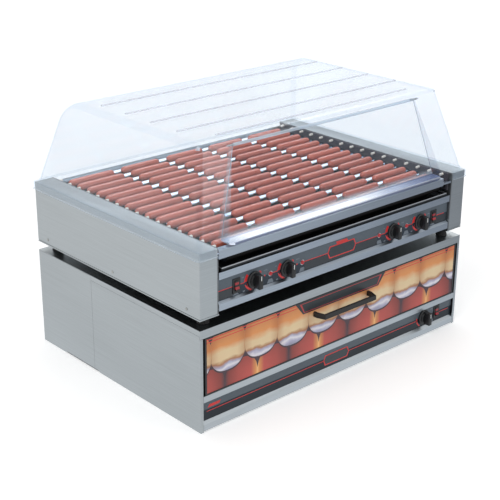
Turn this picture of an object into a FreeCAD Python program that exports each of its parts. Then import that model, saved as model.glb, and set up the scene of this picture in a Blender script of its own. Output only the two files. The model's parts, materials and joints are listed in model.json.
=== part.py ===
"""Hot dog roller grill under a clear hood, standing on a bun warmer cabinet with one drawer.

X runs along the width, -Y is the front, Z is up. The origin is the middle of the cabinet's underside.
All lengths are in millimetres and live in the spreadsheet "sizes"; every feature is bound to its cells.
"""
import FreeCAD, Part
import math
import os
import Sketcher

V = FreeCAD.Vector
doc = FreeCAD.newDocument("roller_grill")
sheet = doc.addObject("Spreadsheet::Sheet", "sizes")


class Size:
    """A length that knows its number and the expression that gives it."""

    def __init__(self, number, text):
        self.number = number
        self.text = text

    def __add__(self, other):
        return Size(self.number + number(other), f"({self.text} + {text(other)})")

    def __sub__(self, other):
        return Size(self.number - number(other), f"({self.text} - {text(other)})")

    def __mul__(self, other):
        return Size(self.number * number(other), f"({self.text} * {text(other)})")

    def __truediv__(self, other):
        return Size(self.number / number(other), f"({self.text} / {text(other)})")

    def __neg__(self):
        return Size(-self.number, f"(0 - {self.text})")

    def root(self):
        return Size(math.sqrt(self.number), f"sqrt({self.text})")


def number(value):
    return value.number if isinstance(value, Size) else float(value)


def text(value):
    return value.text if isinstance(value, Size) else repr(value)


def size(alias, value):
    """Put one driving dimension into the spreadsheet."""
    line = size.count = size.count + 1
    sheet.set(f"A{line}", alias)
    sheet.set(f"B{line}", str(value))
    sheet.setAlias(f"B{line}", alias)
    return Size(value, f"sizes.{alias}")


size.count = 0


# Whole casing
case_width = size("case_width", 900)
case_depth = size("case_depth", 648)
sheet_metal = size("sheet_metal", 1.5)
bend_radius = size("bend_radius", 1.2)
seam_gap = size("seam_gap", 0.5)
seat_gap = size("seat_gap", 0.3)
overrun = size("overrun", 5)

# Warmer cabinet
warmer_height = size("warmer_height", 258)
top_rail_height = size("top_rail_height", 21)
top_flange_height = size("top_flange_height", 13)
side_return = size("side_return", 8)
rear_wrap_depth = size("rear_wrap_depth", 231)
notch_ahead = size("notch_ahead", 23)
notch_behind = size("notch_behind", 133)
notch_height = size("notch_height", 5)
notch_slope = size("notch_slope", 12)
warmer_base_inset = size("warmer_base_inset", 8)
warmer_middle_rail_top = size("warmer_middle_rail_top", 92)
warmer_middle_rail_height = size("warmer_middle_rail_height", 16)
warmer_ledge_top = size("warmer_ledge_top", 26)
warmer_bottom_rail_height = size("warmer_bottom_rail_height", 19)
recess_depth = size("recess_depth", 7)

# Grill casing
foot_height = size("foot_height", 23)
foot_radius = size("foot_radius", 15)
foot_waist_radius = size("foot_waist_radius", 12)
foot_inset_side = size("foot_inset_side", 36.5)
foot_inset_front = size("foot_inset_front", 34)
grill_height = size("grill_height", 160)
pan_edge = size("pan_edge", 3)
pan_shadow = size("pan_shadow", 2)
pan_flange_height = size("pan_flange_height", 26)
pan_front_setback = size("pan_front_setback", 20)
end_width = size("end_width", 50.5)
plate_thickness = size("plate_thickness", 2.5)
top_rail_drop = size("top_rail_drop", 7)
grill_top_rail_height = size("grill_top_rail_height", 20)
grill_top_rail_depth = size("grill_top_rail_depth", 18)
tray_slot_height = size("tray_slot_height", 32)
grill_middle_rail_height = size("grill_middle_rail_height", 17)
panel_height = size("panel_height", 54)
ledge_drop = size("ledge_drop", 5)
grill_bottom_rail_height = size("grill_bottom_rail_height", 16)
rail_end_gap = size("rail_end_gap", 2)
top_rail_short = size("top_rail_short", 30)
end_tab_height = size("end_tab_height", 5)
rear_panel_height = size("rear_panel_height", 146)
vent_pitch = size("vent_pitch", 45)
vent_length = size("vent_length", 27)
vent_height = size("vent_height", 5)
vent_rise = size("vent_rise", 52)
screw_radius = size("screw_radius", 3.6)
screw_head_height = size("screw_head_height", 1.4)
screw_shank_radius = size("screw_shank_radius", 1.6)
screw_length = size("screw_length", 7)
screw_end_inset = size("screw_end_inset", 46)
screw_height = size("screw_height", 16)
screw_clearance = size("screw_clearance", 0.2)
end_tab_depth = size("end_tab_depth", 12)

# Rollers and their drive
roller_radius = size("roller_radius", 17.5)
roller_pitch = size("roller_pitch", 40)
roller_end_gap = size("roller_end_gap", 30.5)
roller_wall = size("roller_wall", 1.5)
roller_cap = size("roller_cap", 6)
first_roller_inset = size("first_roller_inset", 27)
last_roller_inset = size("last_roller_inset", 20)
roller_drop = size("roller_drop", 32)
neck_radius = size("neck_radius", 8)
collar_radius = size("collar_radius", 12.5)
collar_length = size("collar_length", 8)
journal_radius = size("journal_radius", 6)
journal_clearance = size("journal_clearance", 0.05)
bearing_strip_thickness = size("bearing_strip_thickness", 4)
bearing_strip_drop = size("bearing_strip_drop", 15)
bearing_strip_rise = size("bearing_strip_rise", 30)
collar_gap = size("collar_gap", 0.4)
plate_hole_radius = size("plate_hole_radius", 8)
heater_radius = size("heater_radius", 4)
heater_clearance = size("heater_clearance", 0.5)
heater_bracket_gap = size("heater_bracket_gap", 6)
heater_bracket_height = size("heater_bracket_height", 34)
teeth = 12
sprocket_thickness = size("sprocket_thickness", 3)
sprocket_offset = size("sprocket_offset", 8)
tooth_tip_radius = size("tooth_tip_radius", 15)
tooth_root_radius = size("tooth_root_radius", 11)
chain_inner_radius = size("chain_inner_radius", 9.8)
chain_outer_radius = size("chain_outer_radius", 14.8)
chain_plate = size("chain_plate", 1)
motor_sprocket_drop = size("motor_sprocket_drop", 76)
motor_length = size("motor_length", 72)
motor_width = size("motor_width", 56)
motor_height = size("motor_height", 60)
gearbox_length = size("gearbox_length", 30)
motor_shaft_radius = size("motor_shaft_radius", 4)
shaft_end_gap = size("shaft_end_gap", 0.2)

# Drip tray
tray_side_gap = size("tray_side_gap", 12.5)
tray_floor_gap = size("tray_floor_gap", 1.5)
tray_height = size("tray_height", 7)
tray_front_inset = size("tray_front_inset", 3)
tray_back_inset = size("tray_back_inset", 26)
tray_rail_width = size("tray_rail_width", 22)

# Controls
knob_skirt_radius = size("knob_skirt_radius", 22)
knob_skirt_thickness = size("knob_skirt_thickness", 5)
knob_hub_radius = size("knob_hub_radius", 19)
knob_hub_thickness = size("knob_hub_thickness", 4)
knob_grip_width = size("knob_grip_width", 12)
knob_grip_length = size("knob_grip_length", 35)
knob_grip_height = size("knob_grip_height", 15)
knob_edge = size("knob_edge", 1.5)
knob_gap = size("knob_gap", 0.5)
spindle_radius = size("spindle_radius", 3)
spindle_clearance = size("spindle_clearance", 0.05)
spindle_reach = size("spindle_reach", 9)
panel_hole_clearance = size("panel_hole_clearance", 1)
overlay_thickness = size("overlay_thickness", 0.8)
switch_inset = size("switch_inset", 55.5)
knob_step = size("knob_step", 53)
light_step = size("light_step", 51)
knob_spacing = size("knob_spacing", 102)
control_drop = size("control_drop", 30)
light_radius = size("light_radius", 5)
light_lens_height = size("light_lens_height", 3)
light_body_length = size("light_body_length", 14)
switch_width = size("switch_width", 17)
switch_height = size("switch_height", 30)
switch_bezel = size("switch_bezel", 2.5)
switch_bezel_thickness = size("switch_bezel_thickness", 2)
switch_depth = size("switch_depth", 20)
rocker_clearance = size("rocker_clearance", 0.5)
rocker_depth = size("rocker_depth", 9)
rocker_reach = size("rocker_reach", 3.5)
rocker_tilt_degrees = 9.0
warmer_control_rise = size("warmer_control_rise", 27)
warmer_switch_inset = size("warmer_switch_inset", 71)
thermostat_width = size("thermostat_width", 36)
thermostat_depth = size("thermostat_depth", 30)

# Hood
hood_wall = size("hood_wall", 3)
hood_overhang = size("hood_overhang", 6.3)
hood_skirt_drop = size("hood_skirt_drop", 17)
hood_top_height = size("hood_top_height", 216)
hood_base_inset = size("hood_base_inset", 3)
hood_side_lean = size("hood_side_lean", 55)
hood_front_lean = size("hood_front_lean", 63)
hood_back_lean = size("hood_back_lean", 59)
hood_corner_radius = size("hood_corner_radius", 13)
hood_side_edge = size("hood_side_edge", 18)
hood_rear_edge = size("hood_rear_edge", 80)
hood_rim_round = size("hood_rim_round", 2.4)
hood_flange_corner = size("hood_flange_corner", 10)
hood_rib_pitch = size("hood_rib_pitch", 96)
hood_rib_radius = size("hood_rib_radius", 5)
hood_rib_inset = size("hood_rib_inset", 30)
hood_rib_rise = size("hood_rib_rise", 2)
hood_rib_count = 4
hood_front_rib_line = size("hood_front_rib_line", 222)
hood_front_rib_half = size("hood_front_rib_half", 315)
door_top_inset = size("door_top_inset", 150)
door_bottom_inset = size("door_bottom_inset", 92)
door_top_drop = size("door_top_drop", 16)
door_inset_bottom = size("door_inset_bottom", 29)
door_gap = size("door_gap", 3)
door_cheek = size("door_cheek", 3)
door_cheek_lap = size("door_cheek_lap", 0.75)
door_cheek_depth = size("door_cheek_depth", 6)
door_lip_depth = size("door_lip_depth", 34)
door_lip_rise = size("door_lip_rise", 3)
door_lip_bevel = size("door_lip_bevel", 9)
door_bead = size("door_bead", 5)
hinge_pin_radius = size("hinge_pin_radius", 2)
hinge_clearance = size("hinge_clearance", 0.08)
hinge_ear_length = size("hinge_ear_length", 9)
hinge_ear_radius = size("hinge_ear_radius", 4)
hinge_head_gap = size("hinge_head_gap", 0.8)

# Drawer
drawer_side_gap = size("drawer_side_gap", 14)
drawer_face_gap = size("drawer_face_gap", 1.5)
drawer_face_thickness = size("drawer_face_thickness", 16)
drawer_border = size("drawer_border", 5)
drawer_panel_recess = size("drawer_panel_recess", 1)
drawer_pan_inset = size("drawer_pan_inset", 22)
drawer_pan_height = size("drawer_pan_height", 104)
drawer_pan_back_gap = size("drawer_pan_back_gap", 52)
drawer_pan_floor = size("drawer_pan_floor", 97)
rail_height = size("rail_height", 22)
rail_wall = size("rail_wall", 1.6)
rail_line = size("rail_line", 150)
rail_short = size("rail_short", 20)
runner_height = size("runner_height", 14)
runner_gap = size("runner_gap", 0.4)
runner_inset = size("runner_inset", 1)
rail_bracket_length = size("rail_bracket_length", 40)
handle_half = size("handle_half", 91)
handle_reach = size("handle_reach", 34)
handle_width = size("handle_width", 13)
handle_thickness = size("handle_thickness", 7)
handle_line = size("handle_line", 192)
heater_strip_rise = size("heater_strip_rise", 30)
heater_strip_inset = size("heater_strip_inset", 120)
heater_strip_width = size("heater_strip_width", 38)
heater_strip_thickness = size("heater_strip_thickness", 8)
heater_strip_spacing = size("heater_strip_spacing", 200)
clip_width = size("clip_width", 12)
clip_inset = size("clip_inset", 60)

# Frankfurters on the rollers
food_radius = size("food_radius", 11)
food_length = size("food_length", 126)
food_pitch = size("food_pitch", 148)
food_edge = size("food_edge", 4)
food_columns = 5
food_sides = 12

# Levels and planes that several pieces share
half_width = case_width / 2
front = -case_depth / 2
back = case_depth / 2
grill_bottom = warmer_height + foot_height
grill_top = grill_bottom + grill_height
cover_bottom = grill_bottom + pan_edge + pan_shadow
end_inner = half_width - end_width
plate_outer = end_inner - seam_gap
plate_inner = plate_outer - plate_thickness
rail_half = plate_inner - rail_end_gap
top_rail_right = rail_half - top_rail_short
top_rail_top = grill_top - top_rail_drop
top_rail_bottom = top_rail_top - grill_top_rail_height
middle_rail_top = top_rail_bottom - tray_slot_height
panel_top = middle_rail_top - grill_middle_rail_height
panel_bottom = panel_top - panel_height
ledge_front = panel_bottom - ledge_drop
grill_rail_bottom = ledge_front - grill_bottom_rail_height
recess_plane = front + recess_depth
side_seam_back = back - rear_wrap_depth
notch_front = side_seam_back - notch_ahead
notch_back = side_seam_back + notch_behind
screw_spacing = back - screw_end_inset
tray_half_width = plate_inner - tray_side_gap
control_line = panel_top - control_drop
switch_place = rail_half - switch_inset
knob_outer = switch_place - knob_step
knob_inner = knob_outer - knob_spacing
light_outer = knob_outer - light_step
light_inner = light_outer - knob_spacing
warmer_control_line = warmer_ledge_top + warmer_control_rise
warmer_switch_place = half_width - warmer_switch_inset
warmer_knob_place = warmer_switch_place - knob_step
roller_axis = grill_top - roller_drop
first_roller = front + first_roller_inset
strip_inner = plate_inner - bearing_strip_thickness
roller_half_length = strip_inner - roller_end_gap
rollers_room = case_depth - first_roller_inset - last_roller_inset
roller_count = 1 + int(rollers_room.number // roller_pitch.number)
last_roller = first_roller + roller_pitch * (roller_count - 1)
strip_front = first_roller - roller_radius
strip_back = last_roller + roller_radius
food_reach = roller_radius + food_radius + seat_gap
half_pitch = roller_pitch / 2
food_axis = roller_axis + (food_reach * food_reach - half_pitch * half_pitch).root()
tray_floor = middle_rail_top + tray_floor_gap
tray_shelf = tray_floor - seat_gap
drawer_bottom = warmer_middle_rail_top + drawer_face_gap
drawer_top = warmer_height - top_rail_height - drawer_face_gap
cabinet_inner = half_width - sheet_metal
hood_seat = grill_top + seat_gap
hood_top = grill_top + hood_top_height
hood_front_cut_half = end_inner + seam_gap
hinge_line = hood_top - door_top_drop
door_top_half = half_width - door_top_inset
door_bottom_half = half_width - door_bottom_inset
drawer_half_width = half_width - drawer_side_gap
drawer_pan_half_width = drawer_half_width - drawer_pan_inset
drawer_pan_front = front + drawer_face_thickness
drawer_pan_back = back - drawer_pan_back_gap
rail_length = drawer_pan_back - drawer_pan_front - rail_short

nodes = {}


def keep(label, thing):
    """Name a finished sub-part and list it for export."""
    thing.Label = label
    nodes[label] = thing
    return thing


def bind(thing, path, value):
    """Tie one property to its expression, or set a plain zero."""
    if isinstance(value, Size):
        thing.setExpression(path, value.text)


def put(thing, x=0, y=0, z=0, rotation=None, path="Placement"):
    """Place an object at expressions, with an optional fixed turn."""
    base = V(number(x), number(y), number(z))
    setattr(thing, path, FreeCAD.Placement(base, rotation or FreeCAD.Rotation()))
    for axis, value in zip("xyz", (x, y, z)):
        bind(thing, f"{path}.Base.{axis}", value)
    return thing


def box(x, y, z):
    """A box between pairs of coordinates."""
    thing = doc.addObject("Part::Box", "block")
    for path, (low, high) in zip(("Length", "Width", "Height"), (x, y, z)):
        span = high - low if isinstance(high, Size) else Size(0, "0") + high - low
        setattr(thing, path, number(span))
        bind(thing, path, span)
    return put(thing, x[0], y[0], z[0])


TURNS = {
    "z": FreeCAD.Rotation(),
    "x": FreeCAD.Rotation(V(0, 1, 0), 90),
    "y": FreeCAD.Rotation(V(1, 0, 0), -90),
}


def rod(axis, radius, length, x=0, y=0, z=0):
    """A cylinder that starts at a point and runs along +X, +Y or +Z."""
    thing = doc.addObject("Part::Cylinder", "rod")
    thing.Radius = number(radius)
    thing.Height = number(length)
    bind(thing, "Radius", radius)
    bind(thing, "Height", length)
    return put(thing, x, y, z, TURNS[axis])


def fuse(*things):
    joined = doc.addObject("Part::MultiFuse", "joined")
    joined.Shapes = list(things)
    joined.Refine = True
    return joined


def cut(base, *tools):
    thing = doc.addObject("Part::Cut", "trimmed")
    thing.Base = base
    thing.Tool = tools[0] if len(tools) == 1 else fuse(*tools)
    thing.Refine = True
    return thing


def group(*things):
    """Several separate solids of one node."""
    bundle = doc.addObject("Part::Compound", "set")
    bundle.Links = list(things)
    return bundle


def copy_of(form, x=0, y=0, z=0, rotation=None):
    """A like piece, copied from a finished form and placed by the sheet."""
    doc.recompute()
    thing = doc.addObject("Part::Feature", "copy")
    thing.Shape = form.Shape.copy()
    return put(thing, x, y, z, rotation)


def mirrored(form):
    """The same piece on the other side, mirrored across the middle."""
    thing = doc.addObject("Part::Mirroring", "mirrored")
    thing.Source = form
    thing.Normal = V(1, 0, 0)
    return thing


def body(name):
    return doc.addObject("PartDesign::Body", name)


def sketch(owner, plane, shift=0):
    """An empty sketch on one of the body's own planes: XY, XZ or YZ."""
    drawing = owner.newObject("Sketcher::SketchObject", "profile")
    role = f"{plane}_Plane"
    support = [item for item in owner.Origin.OriginFeatures if item.Role == role][0]
    drawing.AttachmentSupport = [(support, "")]
    drawing.MapMode = "FlatFace"
    put(drawing, z=shift, path="AttachmentOffset")
    return drawing


def hold(drawing, kind, place, value):
    """Fix one coordinate of a sketch point to an expression or to an axis."""
    if number(value) == 0 and not isinstance(value, Size):
        drawing.addConstraint(Sketcher.Constraint("PointOnObject", *place, -2 if kind == "DistanceX" else -1))
        return
    index = drawing.addConstraint(Sketcher.Constraint(kind, -1, 1, *place, number(value)))
    drawing.setExpression(f"Constraints[{index}]", value.text)


def polygon(drawing, points):
    """A closed outline whose corners are held by expressions."""
    first = drawing.GeometryCount
    count = len(points)
    for index, (u, v) in enumerate(points):
        nxt = points[(index + 1) % count]
        line = Part.LineSegment(V(number(u), number(v), 0), V(number(nxt[0]), number(nxt[1]), 0))
        drawing.addGeometry(line, False)
    for index in range(count):
        here = first + index
        there = first + (index + 1) % count
        drawing.addConstraint(Sketcher.Constraint("Coincident", here, 2, there, 1))
    for index, (u, v) in enumerate(points):
        hold(drawing, "DistanceX", (first + index, 1), u)
        hold(drawing, "DistanceY", (first + index, 1), v)
    return drawing


def rectangle(drawing, u, v):
    return polygon(drawing, [(u[0], v[0]), (u[1], v[0]), (u[1], v[1]), (u[0], v[1])])


def circle(drawing, u, v, radius):
    index = drawing.addGeometry(Part.Circle(V(number(u), number(v), 0), V(0, 0, 1), number(radius)), False)
    hold(drawing, "DistanceX", (index, 3), u)
    hold(drawing, "DistanceY", (index, 3), v)
    bound = drawing.addConstraint(Sketcher.Constraint("Radius", index, number(radius)))
    drawing.setExpression(f"Constraints[{bound}]", radius.text)
    return drawing


def feature(owner, kind, drawing, length=None, backwards=False):
    thing = owner.newObject(f"PartDesign::{kind}", kind.lower())
    thing.Profile = drawing
    if length is not None:
        thing.Length = number(length)
        bind(thing, "Length", length)
    thing.Reversed = backwards
    return thing


def pad(owner, drawing, length, backwards=False):
    return feature(owner, "Pad", drawing, length, backwards)


def pocket(owner, drawing, length, backwards=False):
    """Cut a pocket and make sure that it takes material away."""
    doc.recompute()
    before = owner.Shape.Volume
    thing = feature(owner, "Pocket", drawing, length, backwards)
    doc.recompute()
    if owner.Shape.Volume >= before:
        raise RuntimeError(f"pocket of {owner.Label} cuts nothing")
    return thing


def turn(owner, drawing, axis="H_Axis"):
    thing = feature(owner, "Revolution", drawing)
    thing.ReferenceAxis = (drawing, [axis])
    thing.Angle = 360
    return thing


def row(owner, item, drawing, axis, pitch, count):
    """Repeat a feature in a straight line."""
    pattern = owner.newObject("PartDesign::LinearPattern", "pattern")
    pattern.Originals = [item]
    pattern.Direction = (drawing, [axis])
    pattern.Occurrences = count
    pattern.Length = number(pitch) * (count - 1)
    bind(pattern, "Length", pitch * (count - 1))
    owner.Tip = pattern
    return pattern


def dress(owner, kind, path, amount, wanted):
    """Fillet or chamfer those edges of a body that pass a test."""
    doc.recompute()
    tip = owner.Tip
    names = [f"Edge{i + 1}" for i, edge in enumerate(tip.Shape.Edges) if wanted(edge)]
    thing = owner.newObject(f"PartDesign::{kind}", kind.lower())
    thing.Base = (tip, names)
    setattr(thing, path, number(amount))
    bind(thing, path, amount)
    return thing


def round_off(owner, radius, wanted):
    return dress(owner, "Fillet", "Radius", radius, wanted)


def bevel_off(owner, amount, wanted):
    return dress(owner, "Chamfer", "Size", amount, wanted)


def bar(name, plane, points, start, length, backwards=False):
    """A straight bar or folded sheet: one outline, extruded."""
    owner = body(name)
    pad(owner, polygon(sketch(owner, plane, start), points), length, backwards)
    return owner


def run_x(name, points, half):
    """A profile in the YZ plane that runs across the width, from -half to +half."""
    return bar(name, "YZ", points, -half, half * 2)


def along(edge, axis):
    """True for a straight edge that runs along one axis."""
    step = edge.Vertexes[-1].Point - edge.Vertexes[0].Point
    if step.Length == 0:
        return False
    return abs(abs(getattr(step, axis)) - step.Length) < step.Length / 1000


def near(value, target):
    return abs(value - number(target)) < number(sheet_metal) / 4


def screw_holes(side):
    """Cutters for the screws that hold one end housing to the pan's flange."""
    holes = []
    length = screw_length * 2
    for index in (-1, 0, 1):
        middle = half_width * side
        holes.append(rod("x", screw_shank_radius + screw_clearance, length, middle - length / 2,
                         screw_spacing * index, grill_bottom + screw_height))
    return holes


# Grill base: a shallow pan whose flanges stand inside the casing
def make_base_pan():
    flange_x = cabinet_inner
    flange_y = back - sheet_metal
    floor = box((-half_width, half_width), (front, back), (grill_bottom, grill_bottom + pan_edge))
    outer = box((-flange_x, flange_x), (-flange_y, flange_y), (grill_bottom, grill_bottom + pan_flange_height))
    inner = box(
        (-flange_x + sheet_metal, flange_x - sheet_metal),
        (-flange_y + sheet_metal, flange_y - sheet_metal),
        (grill_bottom + pan_edge, grill_bottom + pan_flange_height + overrun),
    )
    between_plates = box(
        (-end_inner, end_inner),
        (front - overrun, back + overrun),
        (grill_bottom + pan_edge, grill_bottom + pan_flange_height + overrun),
    )
    front_edge = box((-rail_half, rail_half), (front - overrun, front + pan_front_setback),
                     (grill_bottom - overrun, grill_bottom + pan_edge + overrun))
    tools = [inner, between_plates, front_edge, *screw_holes(-1), *screw_holes(1)]
    keep("grill_base_pan", cut(fuse(floor, outer), *tools))


# End housings: one folded cover over each end of the rollers
def make_end_housing():
    cover = body("end_housing_form")
    outline = sketch(cover, "XY", cover_bottom)
    rectangle(outline, (-half_width, -end_inner), (front, back))
    pad(cover, outline, grill_top - cover_bottom)
    round_off(
        cover,
        bend_radius,
        lambda edge: (near(edge.CenterOfMass.z, grill_top) and not near(edge.CenterOfMass.x, -end_inner))
        or (along(edge, "z") and near(edge.CenterOfMass.x, -half_width)),
    )
    cavity = sketch(cover, "XY", cover_bottom)
    rectangle(cavity, (-cabinet_inner, -end_inner + overrun), (front + sheet_metal, back - sheet_metal))
    pocket(cover, cavity, grill_top - sheet_metal - cover_bottom, True)
    drilled = cut(cover, *screw_holes(-1))
    keep("left_end_housing", drilled)
    keep("right_end_housing", mirrored(drilled))


# Bearing plates: the inner walls that carry every roller
def make_bearing_plates():
    plate = body("bearing_plate_form")
    outline = sketch(plate, "YZ", -plate_outer)
    rectangle(outline, (front, back), (grill_bottom + pan_edge, grill_top))
    pad(plate, outline, plate_thickness)
    slot = sketch(plate, "YZ", -plate_outer)
    rectangle(slot, (first_roller - plate_hole_radius, last_roller + plate_hole_radius),
              (roller_axis - plate_hole_radius, roller_axis + plate_hole_radius))
    pocket(plate, slot, plate_thickness, True)
    relieved = cut(
        plate,
        box(
            (-plate_outer - overrun, -plate_inner + overrun),
            (front - overrun, front + sheet_metal + seam_gap),
            (top_rail_top - grill_top_rail_height, top_rail_top),
        ),
    )
    motor_hole = rod("x", plate_hole_radius, plate_thickness * 2 + overrun, plate_inner - overrun,
                     (first_roller + last_roller) / 2, roller_axis - motor_sprocket_drop)
    right = cut(mirrored(relieved), motor_hole)
    keep("bearing_plates", group(relieved, right))


def make_bearing_strips():
    strip = body("bearing_strip_form")
    outline = sketch(strip, "YZ", -plate_inner)
    rectangle(outline, (strip_front, strip_back),
              (roller_axis - bearing_strip_drop, roller_axis + bearing_strip_rise))
    pad(strip, outline, bearing_strip_thickness)
    bore = sketch(strip, "YZ", -plate_inner)
    circle(bore, first_roller, roller_axis, journal_radius + journal_clearance)
    drill = pocket(strip, bore, bearing_strip_thickness, True)
    row(strip, drill, bore, "H_Axis", roller_pitch, roller_count)
    keep("bearing_strips", group(strip, mirrored(strip)))


def toothed_wheel(owner, start, thickness):
    """Add a chain wheel with straight-sided teeth about the X axis."""
    wheel = sketch(owner, "YZ", start)
    points = []
    step = 360.0 / teeth
    flank_share = 0.16
    for index in range(teeth):
        for share, radius in (
            (-0.5 + flank_share, tooth_root_radius),
            (-flank_share / 2, tooth_tip_radius),
            (flank_share / 2, tooth_tip_radius),
            (0.5 - flank_share, tooth_root_radius),
        ):
            angle = math.radians(step * (index + share))
            points.append((radius * round(math.cos(angle), 9), radius * round(math.sin(angle), 9)))
    polygon(wheel, points)
    pad(owner, wheel, thickness)


# Rollers: tube, necks, collars, journals and chain wheel, hollow for the heating rod
def make_rollers():
    roller = body("roller_form")
    tube_end = roller_half_length
    collar_outer = strip_inner - collar_gap
    collar_inner = collar_outer - collar_length
    left_end = plate_outer + overrun
    wheel_start = plate_outer + sprocket_offset
    wheel_end = wheel_start + sprocket_thickness
    profile = sketch(roller, "XZ")
    bore = heater_radius + heater_clearance
    polygon(
        profile,
        [
            (-left_end, bore),
            (-left_end, journal_radius),
            (-collar_outer, journal_radius),
            (-collar_outer, collar_radius),
            (-collar_inner, collar_radius),
            (-collar_inner, neck_radius),
            (-tube_end, neck_radius),
            (-tube_end, roller_radius),
            (tube_end, roller_radius),
            (tube_end, neck_radius),
            (collar_inner, neck_radius),
            (collar_inner, collar_radius),
            (collar_outer, collar_radius),
            (collar_outer, journal_radius),
            (wheel_end + chain_plate, journal_radius),
            (wheel_end + chain_plate, 0),
            (tube_end - roller_cap, 0),
            (tube_end - roller_cap, roller_radius - roller_wall),
            (-tube_end + roller_cap, roller_radius - roller_wall),
            (-tube_end + roller_cap, bore),
        ],
    )
    turn(roller, profile)
    toothed_wheel(roller, wheel_start, sprocket_thickness)
    for index in range(roller_count):
        place = first_roller + roller_pitch * index
        keep(f"roller_{index + 1:02d}", copy_of(roller, y=place, z=roller_axis))


def drive_corners():
    """Centres of the three wheels at which the chain turns, in the YZ plane."""
    middle = (first_roller + last_roller) / 2
    return [(first_roller, roller_axis), (last_roller, roller_axis), (middle, roller_axis - motor_sprocket_drop)]


def make_drive():
    """Chain of two plate loops, gear motor and its wheel."""
    doc.recompute()
    corners = [V(0, number(y), number(z)) for y, z in drive_corners()]
    triangle = Part.Face(Part.makePolygon(corners + corners[:1]))
    loop = triangle.makeOffset2D(number(chain_outer_radius)).cut(triangle.makeOffset2D(number(chain_inner_radius)))
    wheel_start = plate_outer + sprocket_offset
    plates = []
    for start in (wheel_start - collar_gap - chain_plate, wheel_start + sprocket_thickness + collar_gap):
        plates.append(loop.extrude(V(number(chain_plate), 0, 0)).translated(V(number(start), 0, 0)))
    chain = doc.addObject("Part::Feature", "chain")
    chain.Shape = Part.makeCompound(plates)
    keep("drive_chain", chain)

    y, z = drive_corners()[2]
    wheel = body("drive_wheel")
    profile = sketch(wheel, "XZ")
    shaft_start = plate_inner - overrun - gearbox_length / 2
    polygon(
        profile,
        [
            (shaft_start, 0),
            (wheel_start + sprocket_thickness + chain_plate, 0),
            (wheel_start + sprocket_thickness + chain_plate, journal_radius),
            (wheel_start - sprocket_thickness, journal_radius),
            (wheel_start - sprocket_thickness, motor_shaft_radius),
            (shaft_start, motor_shaft_radius),
        ],
    )
    turn(wheel, profile)
    toothed_wheel(wheel, wheel_start, sprocket_thickness)
    keep("drive_sprocket", put(wheel, 0, y, z))

    gearbox_end = plate_inner
    gearbox_start = gearbox_end - gearbox_length
    half_height = motor_height / 2 - motor_shaft_radius
    gearbox = box((gearbox_start, gearbox_end), (y - motor_width / 2, y + motor_width / 2),
                  (z - half_height, z + half_height))
    can = rod("x", motor_width / 2 - motor_shaft_radius, motor_length, gearbox_start - motor_length, y, z)
    hole_start = shaft_start - shaft_end_gap
    shaft_hole = rod("x", motor_shaft_radius + journal_clearance, gearbox_length, hole_start, y, z)
    keep("drive_motor", cut(fuse(gearbox, can), shaft_hole))


# Heating rods reach into the rollers from a bracket in the left end
def make_heaters():
    rod_start = plate_outer + overrun + heater_bracket_gap
    bracket = box(
        (-rod_start, -rod_start + sheet_metal * 2),
        (strip_front, strip_back),
        (roller_axis - heater_bracket_height / 2, roller_axis + heater_bracket_height / 2),
    )
    foot = box(
        (-rod_start, -plate_outer),
        (strip_front, strip_back),
        (roller_axis - heater_bracket_height / 2 - sheet_metal, roller_axis - heater_bracket_height / 2),
    )
    rods = []
    start = -rod_start + sheet_metal * 2
    for index in range(roller_count):
        place = first_roller + roller_pitch * index
        rods.append(rod("x", heater_radius, roller_half_length - roller_cap * 2 - start, start, place, roller_axis))
    keep("heater_rods", fuse(bracket, foot, *rods))


# Frankfurters: the load on the grill, a row of them in each valley between two rollers
def make_frankfurters():
    form = body("frankfurter_form")
    points = []
    for index in range(food_sides):
        angle = 2 * math.pi * index / food_sides
        points.append((food_radius * round(math.cos(angle), 9), food_radius * round(math.sin(angle), 9)))
    pad(form, polygon(sketch(form, "YZ", -food_length / 2), points), food_length)
    bevel_off(form, food_edge, lambda edge: not along(edge, "x"))
    pieces = []
    for line in range(roller_count - 1):
        for column in range(food_columns):
            x = food_pitch * (column - (food_columns - 1) / 2)
            pieces.append(copy_of(form, x, first_roller + roller_pitch * (line + 0.5), food_axis))
    keep("frankfurters", group(*pieces))


def make_drip_tray():
    y = (front + tray_front_inset, back - tray_back_inset)
    shell = box((-tray_half_width, tray_half_width), y, (tray_floor, tray_floor + tray_height))
    hollow = box(
        (-tray_half_width + sheet_metal, tray_half_width - sheet_metal),
        (y[0] + sheet_metal, y[1] - sheet_metal),
        (tray_floor + sheet_metal, tray_floor + tray_height + overrun),
    )
    keep("drip_tray", cut(shell, hollow))
    shelf_top = tray_shelf
    outline = [
        (-plate_inner, shelf_top),
        (-plate_inner + tray_rail_width, shelf_top),
        (-plate_inner + tray_rail_width, shelf_top - sheet_metal),
        (-plate_inner + sheet_metal, shelf_top - sheet_metal),
        (-plate_inner + sheet_metal, shelf_top - tray_rail_width),
        (-plate_inner, shelf_top - tray_rail_width),
    ]
    start = front + recess_depth + overrun
    rail = bar("tray_rail_form", "XZ", outline, -back + tray_back_inset, back - tray_back_inset - start)
    keep("tray_rails", group(rail, mirrored(rail)))


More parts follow.
